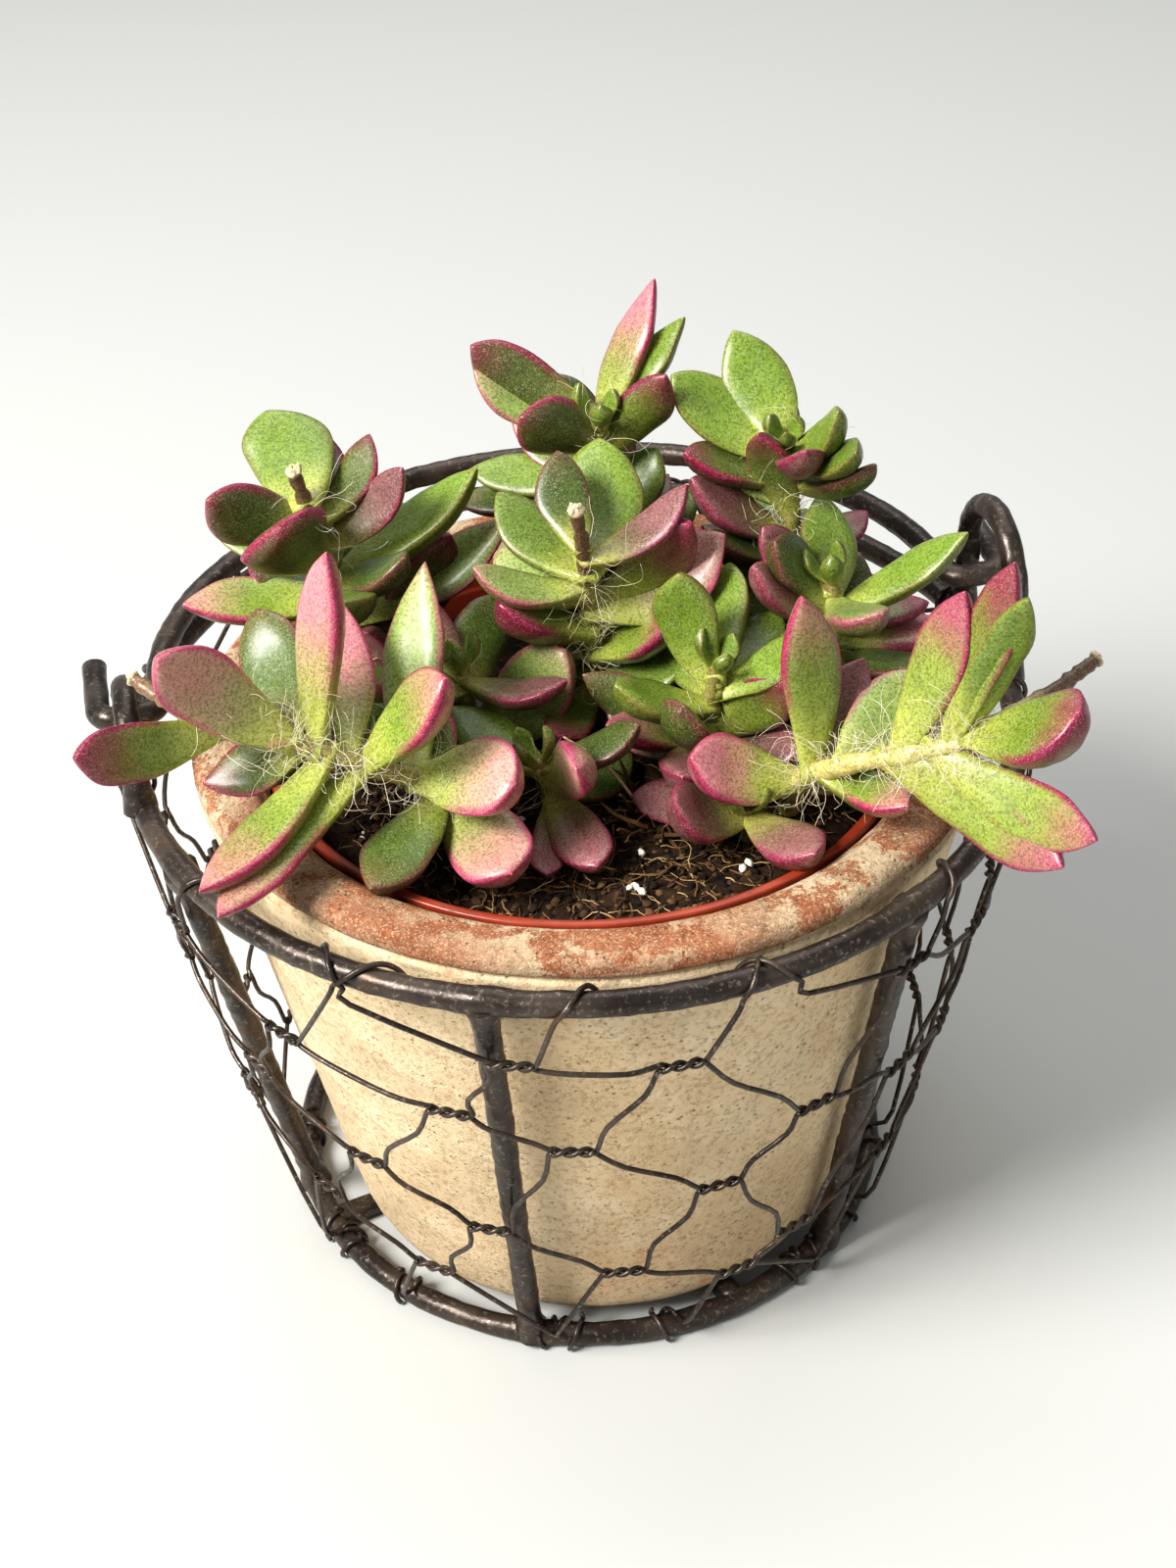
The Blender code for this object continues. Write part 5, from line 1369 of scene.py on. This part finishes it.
def plan_leaves():
    crowd = Crowd()
    plan = {}
    for name, shoot in SHOOTS.items():
        path = stem_path(shoot)
        crowd.add(name, [(point, STEM) for point in path])
        leaves = []
        for leaf in shoot.leaves:
            root, tip, grows = leaf_ends(path, leaf)
            facing = leaf_facing(root, tip, grows, FACE_LENS if leaf.turn else FACE_LIGHT)
            leaves.append((root, tip, leaf.wide, facing, leaf.look, leaf.turn, leaf.point))
            crowd.add(name, crowd.leaf_balls(root, tip, leaf.wide), shown=True)
        plan[name] = (path, leaves)
    for name, (path, leaves) in plan.items():
        leaves += hidden_leaves(crowd, name, path, SHOOTS[name].hidden)
    for name, (path, leaves) in plan.items():
        leaves += filler_leaves(crowd, name, path, FILLERS.get(name, 0))
    return plan


LEAF_ROWS = 24
LEAF_SIDES = 22
DENT = 0.2
WIDEST = 0.6


def leaf_outline(share, point):
    """Half width along a leaf: a short neck, widest past the middle, then blunt or pointed."""
    if share < WIDEST:
        return 0.34 + 0.66 * math.sin(0.5 * math.pi * max(share, 0) / WIDEST) ** 1.15
    t = (share - WIDEST) / (1 - WIDEST)
    blunt = max(0.0, 1 - t**2.9) ** 0.86
    sharp = max(0.0, 1 - t**1.6) ** 0.98
    return blunt + (sharp - blunt) * point


def add_leaf(skin, draw, root, tip, wide, facing, look, turn=0, point=0.5, painted_crown_shade=1.0):
    """A boat-shaped leaf: flat or hollow above, keeled below, with a ridge along each margin."""
    run = tip - root
    length = run.length
    ahead = run / length
    turned = math.radians(turn)
    face = Matrix.Rotation(turned, 3, ahead) @ facing
    wide = min(wide / math.hypot(math.cos(turned), TURNED_WIDE * math.sin(turned)), wide + 4.0)
    side = ahead.cross(face)
    deep = 0.42 if abs(turn) > 90 else 0.6
    sway = draw.uniform(-0.05, 0.05)
    twist = draw.uniform(-0.3, 0.3)
    bow = LEAF_BOW + draw.uniform(-0.02, 0.04)
    wave, phase = draw.uniform(0.01, 0.05), draw.uniform(0, 6.28)
    # Random tone, times painted shade: the hidden and filler leaves low in the crown are painted darker.
    shade = draw.uniform(0.88, 1.1) * painted_crown_shade
    shift = Vector([draw.uniform(-50, 50) for _ in range(3)])
    points, places = [], []
    for row in range(LEAF_ROWS):
        share = 1.04 * math.sin(0.5 * math.pi * row / (LEAF_ROWS - 1)) - 0.04
        arch = 4 * share * (1 - share)
        middle = root + run * share - facing * (bow * length * arch) + side * (sway * length * arch)
        lean = twist * (share - 0.5)
        across = side * math.cos(lean) + face * math.sin(lean)
        above = face * math.cos(lean) - side * math.sin(lean)
        outline = leaf_outline(share, point)
        half = max(outline * wide / 2, 0.1)
        thick = wide * (deep - 0.12 * share) * min(1.0, outline**0.6 * 1.04)
        cup = 0.1 * math.sin(math.pi * min(max(share, 0.0), 1.0))
        for n in range(LEAF_SIDES):
            a = 2 * math.pi * n / LEAF_SIDES
            x = math.copysign(abs(math.cos(a)) ** 0.9, math.cos(a))
            y = math.sin(a)
            if y > 0:
                rise = 0.24 * y**1.5 - cup * math.exp(-((x / 0.55) ** 2))
            else:
                rise = -0.78 * abs(y) ** 1.3
            edge = 1 + wave * math.sin(11 * share + phase + (2 if x > 0 else 0)) * abs(x)
            spot = middle + across * (half * x * edge) + above * ((rise + 0.1) * thick)
            dent = DENT * noise.noise(spot * 0.23 + shift) * min(1.0, outline * 1.4)
            points.append(spot + (across * x + above * y) * dent)
            places.append((share, abs(x), y))
    ends = [list(range(LEAF_SIDES))[::-1], list(range((LEAF_ROWS - 1) * LEAF_SIDES, LEAF_ROWS * LEAF_SIDES))]
    look = LOOKS[look]
    skin.add(
        array(points),
        grid_quads(LEAF_ROWS, LEAF_SIDES),
        ends,
        place=places,
        flesh=[c * shade for c in linear(look.flesh)],
        blush=[c * shade for c in linear(look.blush)],
        margin=linear(look.margin),
        amount=(look.start + draw.uniform(-0.07, 0.07), look.soft, look.strength),
    )


# Colours of a stem from the soil to its end, and of its last part: dried stub, cut face
STEM_COLOURS = {
    "shoot_trailing_left": ((140, 148, 70), (186, 148, 104), (128, 92, 62)),
    "shoot_trailing_right": ((196, 186, 100), (222, 208, 146), (112, 84, 64)),
}
STEM_PLAIN = ((126, 138, 60), (150, 134, 78), (104, 74, 52))
STUBS = {"shoot_trailing_left": 0.8, "shoot_trailing_right": 0.8, "shoot_centre": 0.72, "shoot_left_back": 0.86}
CUT_FACE = (226, 208, 172)
STEM_SEGMENTS = 12


def add_stem(skin, draw, path, name):
    """A fleshy stem with leaf scars. Some end in a dried stub with a pale cut face."""
    fine = smooth_path(path, 5)
    share = np.linspace(0, 1, len(fine))
    stub = STUBS.get(name, 2.0)
    dried = np.clip((share - stub) / 0.05, 0, 1)
    radius = STEM * (1.02 - 0.3 * share) * (1 + 0.05 * np.sin(share * len(fine) * 0.9)) * (1 - 0.12 * dried)
    radius *= 1 + dried * 0.22 * np.sin(share * 190) * (0.5 + 0.5 * np.sin(share * 71))
    low, high, end = (np.array(linear(c)) for c in STEM_COLOURS.get(name, STEM_PLAIN))
    add_tube(skin, fine, radius, STEM_SEGMENTS, rough=0.22, seed=draw.uniform(0, 9))
    along = np.repeat(share, STEM_SEGMENTS)[:, None]
    dry = np.repeat(dried, STEM_SEGMENTS)[:, None]
    colours = (low * (1 - along) + high * along) * (1 - dry) + end * dry
    colours[-STEM_SEGMENTS:] = linear(CUT_FACE) if stub < 1 else high
    mark_plain(skin, colours)
    if stub < 1:
        add_frayed_end(skin, draw, fine[-1], (fine[-1] - fine[-3]).normalized(), radius[-1])
    else:
        add_bud(skin, draw, fine[-1], (fine[-1] - fine[-3]).normalized())


def mark_plain(skin, colours):
    """The leaf finish's marks for something that is not a leaf."""
    count = len(colours)
    plain = np.tile((0.5, 0.0, 0.0), (count, 1))
    marks = {"place": plain, "flesh": colours, "blush": colours, "margin": colours}
    marks["amount"] = np.tile((2.0, 0.5, 0.0), (count, 1))
    for mark, values in marks.items():
        skin.marks.setdefault(mark, []).append(values)


def add_frayed_end(skin, draw, end, ahead, radius):
    """Pale torn fibres on the cut face of a stem."""
    for _ in range(22):
        aside = Vector([draw.gauss(0, 1) for _ in range(3)]).normalized()
        aside -= ahead * aside.dot(ahead)
        start = end + aside * radius * draw.uniform(0.2, 0.8) - ahead * 0.3
        stop = start + (ahead + aside * draw.uniform(-0.2, 0.4)) * draw.uniform(0.4, 1.0)
        before = skin.count
        add_tube(skin, [start, start.lerp(stop, 0.5) + aside * 0.2, stop], [0.42, 0.36, 0.2], 5)
        mark_plain(skin, np.tile(linear(CUT_FACE), (skin.count - before, 1)))


def add_bud(skin, draw, end, ahead):
    """Three small new leaves that close the tip of a growing stem."""
    aside = ahead.cross(UP + Vector((0.1, 0.2, 0))).normalized()
    turned = draw.uniform(0, 2 * math.pi)
    for number in range(3):
        turn = Matrix.Rotation(turned + number * 2 * math.pi / 3, 3, ahead)
        out = turn @ aside
        tip = end + (ahead * draw.uniform(0.75, 1.0) + out * draw.uniform(0.35, 0.6)) * draw.uniform(5.0, 7.0)
        add_leaf(skin, draw, end - ahead * 0.8 + out * 0.5, tip, draw.uniform(3.2, 4.2), -out, "green", 0, 0.8)


def add_hair(skin, draw, spot, length, heading, home, radius=0.05):
    """One long kinked hair, which strays from its axil and mostly turns back towards it."""
    direction = heading.normalized()
    point = spot.copy()
    path = [point.copy()]
    steps = max(6, int(length / 1.3))
    bend = Vector([draw.gauss(0, 0.3) for _ in range(3)])
    for _ in range(steps):
        bend = bend * 0.7 + Vector([draw.gauss(0, 0.26) for _ in range(3)])
        away = home - point
        direction = (direction + bend + away * 0.035 * min(away.length, 6.0) / 6.0).normalized()
        point = point + direction * length / steps
        path.append(point.copy())
    fine = smooth_path(path, 2)
    add_tube(skin, fine, np.linspace(radius, radius * 0.6, len(fine)), 3)


# Hairs at each leaf's axil, and how long the longest are
Hairs = namedtuple("Hairs", "count longest")
HAIRS = {
    "shoot_trailing_left": Hairs(26, 17),
    "shoot_trailing_right": Hairs(34, 16),
    "shoot_centre": Hairs(20, 15),
    "shoot_back_right": Hairs(15, 19),
    "shoot_back": Hairs(7, 15),
    "shoot_left_back": Hairs(8, 14),
}
HAIRS_PLAIN = Hairs(3, 8)


def make_plants(flesh, white):
    draw = random.Random(3)
    hair = Skin()
    for name, (path, leaves) in plan_leaves().items():
        skin = Skin()
        add_stem(skin, draw, path, name)
        hairs = HAIRS.get(name, HAIRS_PLAIN)
        for number, (root, tip, wide, facing, look, turn, point) in enumerate(leaves):
            seen = number < len(SHOOTS[name].leaves)
            # Hidden and filler leaves, low in the crown, are painted at 0.8: painted shade.
            add_leaf(skin, draw, root, tip, wide, facing, look, turn, point, 1.0 if seen else 0.8)
            for _ in range(hairs.count if seen else 2):
                aside = Vector([draw.gauss(0, 1) for _ in range(3)]).normalized()
                spot = root + aside * STEM * 1.05
                ahead = aside * 0.8 + (tip - root).normalized() * 0.5
                add_hair(hair, draw, spot, draw.triangular(3, hairs.longest, 5), ahead, root)
        skin.piece(f"{name}_leaves", flesh, replaces=[name])
    hair.piece("axil_hairs", white)


# ---- Camera, light and floor ----


def make_camera():
    ahead, across, rise = lens_axes()
    data = bpy.data.cameras.new("camera")
    data.sensor_fit = "AUTO"
    data.sensor_width = SENSOR
    data.lens = LENS_LONG / PICTURE_LONG * SENSOR
    data.clip_start = 0.01
    camera = bpy.data.objects.new("camera", data)
    turned = Matrix((across, rise, -ahead)).transposed().to_4x4()
    camera.matrix_world = Matrix.Translation(LENS * MM) @ turned
    bpy.context.scene.collection.objects.link(camera)
    bpy.context.scene.camera = camera


def make_light(name, spot, aim, size, power, colour=(1, 1, 1)):
    data = bpy.data.lights.new(name, "AREA")
    data.shape = "RECTANGLE"
    data.size, data.size_y = size
    data.energy = power
    data.color = colour
    light = bpy.data.objects.new(name, data)
    light.location = spot
    light.rotation_euler = (Vector(aim) - Vector(spot)).to_track_quat("-Z", "Y").to_euler()
    bpy.context.scene.collection.objects.link(light)


def make_surroundings():
    mesh = bpy.data.meshes.new("floor")
    mesh.from_pydata([(-4, -4, 0), (4, -4, 0), (4, 4, 0), (-4, 4, 0)], [], [(0, 1, 2, 3)])
    mesh.materials.append(floor_finish())
    floor = bpy.data.objects.new("floor", mesh)
    bpy.context.scene.collection.objects.link(floor)
    make_light("window", (-0.66, -0.42, 0.8), (0, 0, 0.08), (0.42, 0.42), 20, (1.0, 0.985, 0.96))
    make_light("fill", (0.85, -0.75, 0.5), (0, 0, 0.07), (0.9, 0.9), 1.2, (1.0, 0.98, 0.95))
    make_light("sky", (0.05, 0.5, 1.0), (0, 0, 0.05), (0.9, 0.9), 5)
    world = bpy.context.scene.world or bpy.data.worlds.new("world")
    bpy.context.scene.world = world
    world.use_nodes = True
    world.node_tree.nodes["Background"].inputs["Color"].default_value = (0.9, 0.92, 0.93, 1)
    world.node_tree.nodes["Background"].inputs["Strength"].default_value = 0.36
    bpy.context.scene.view_settings.view_transform = "Standard"
    bpy.context.scene.view_settings.look = "Medium High Contrast"


def main():
    make_camera()
    make_surroundings()
    steel = steel_finish()
    make_basket(steel)
    make_bail(steel)
    make_net(steel)
    make_terracotta_pot(clay_finish())
    make_nursery_pot(plastic_finish())
    make_soil(soil_finish(), tinted_finish("soil_litter", 0.9, 900, 0.0004))
    make_plants(leaf_finish(), hair_finish())


main()
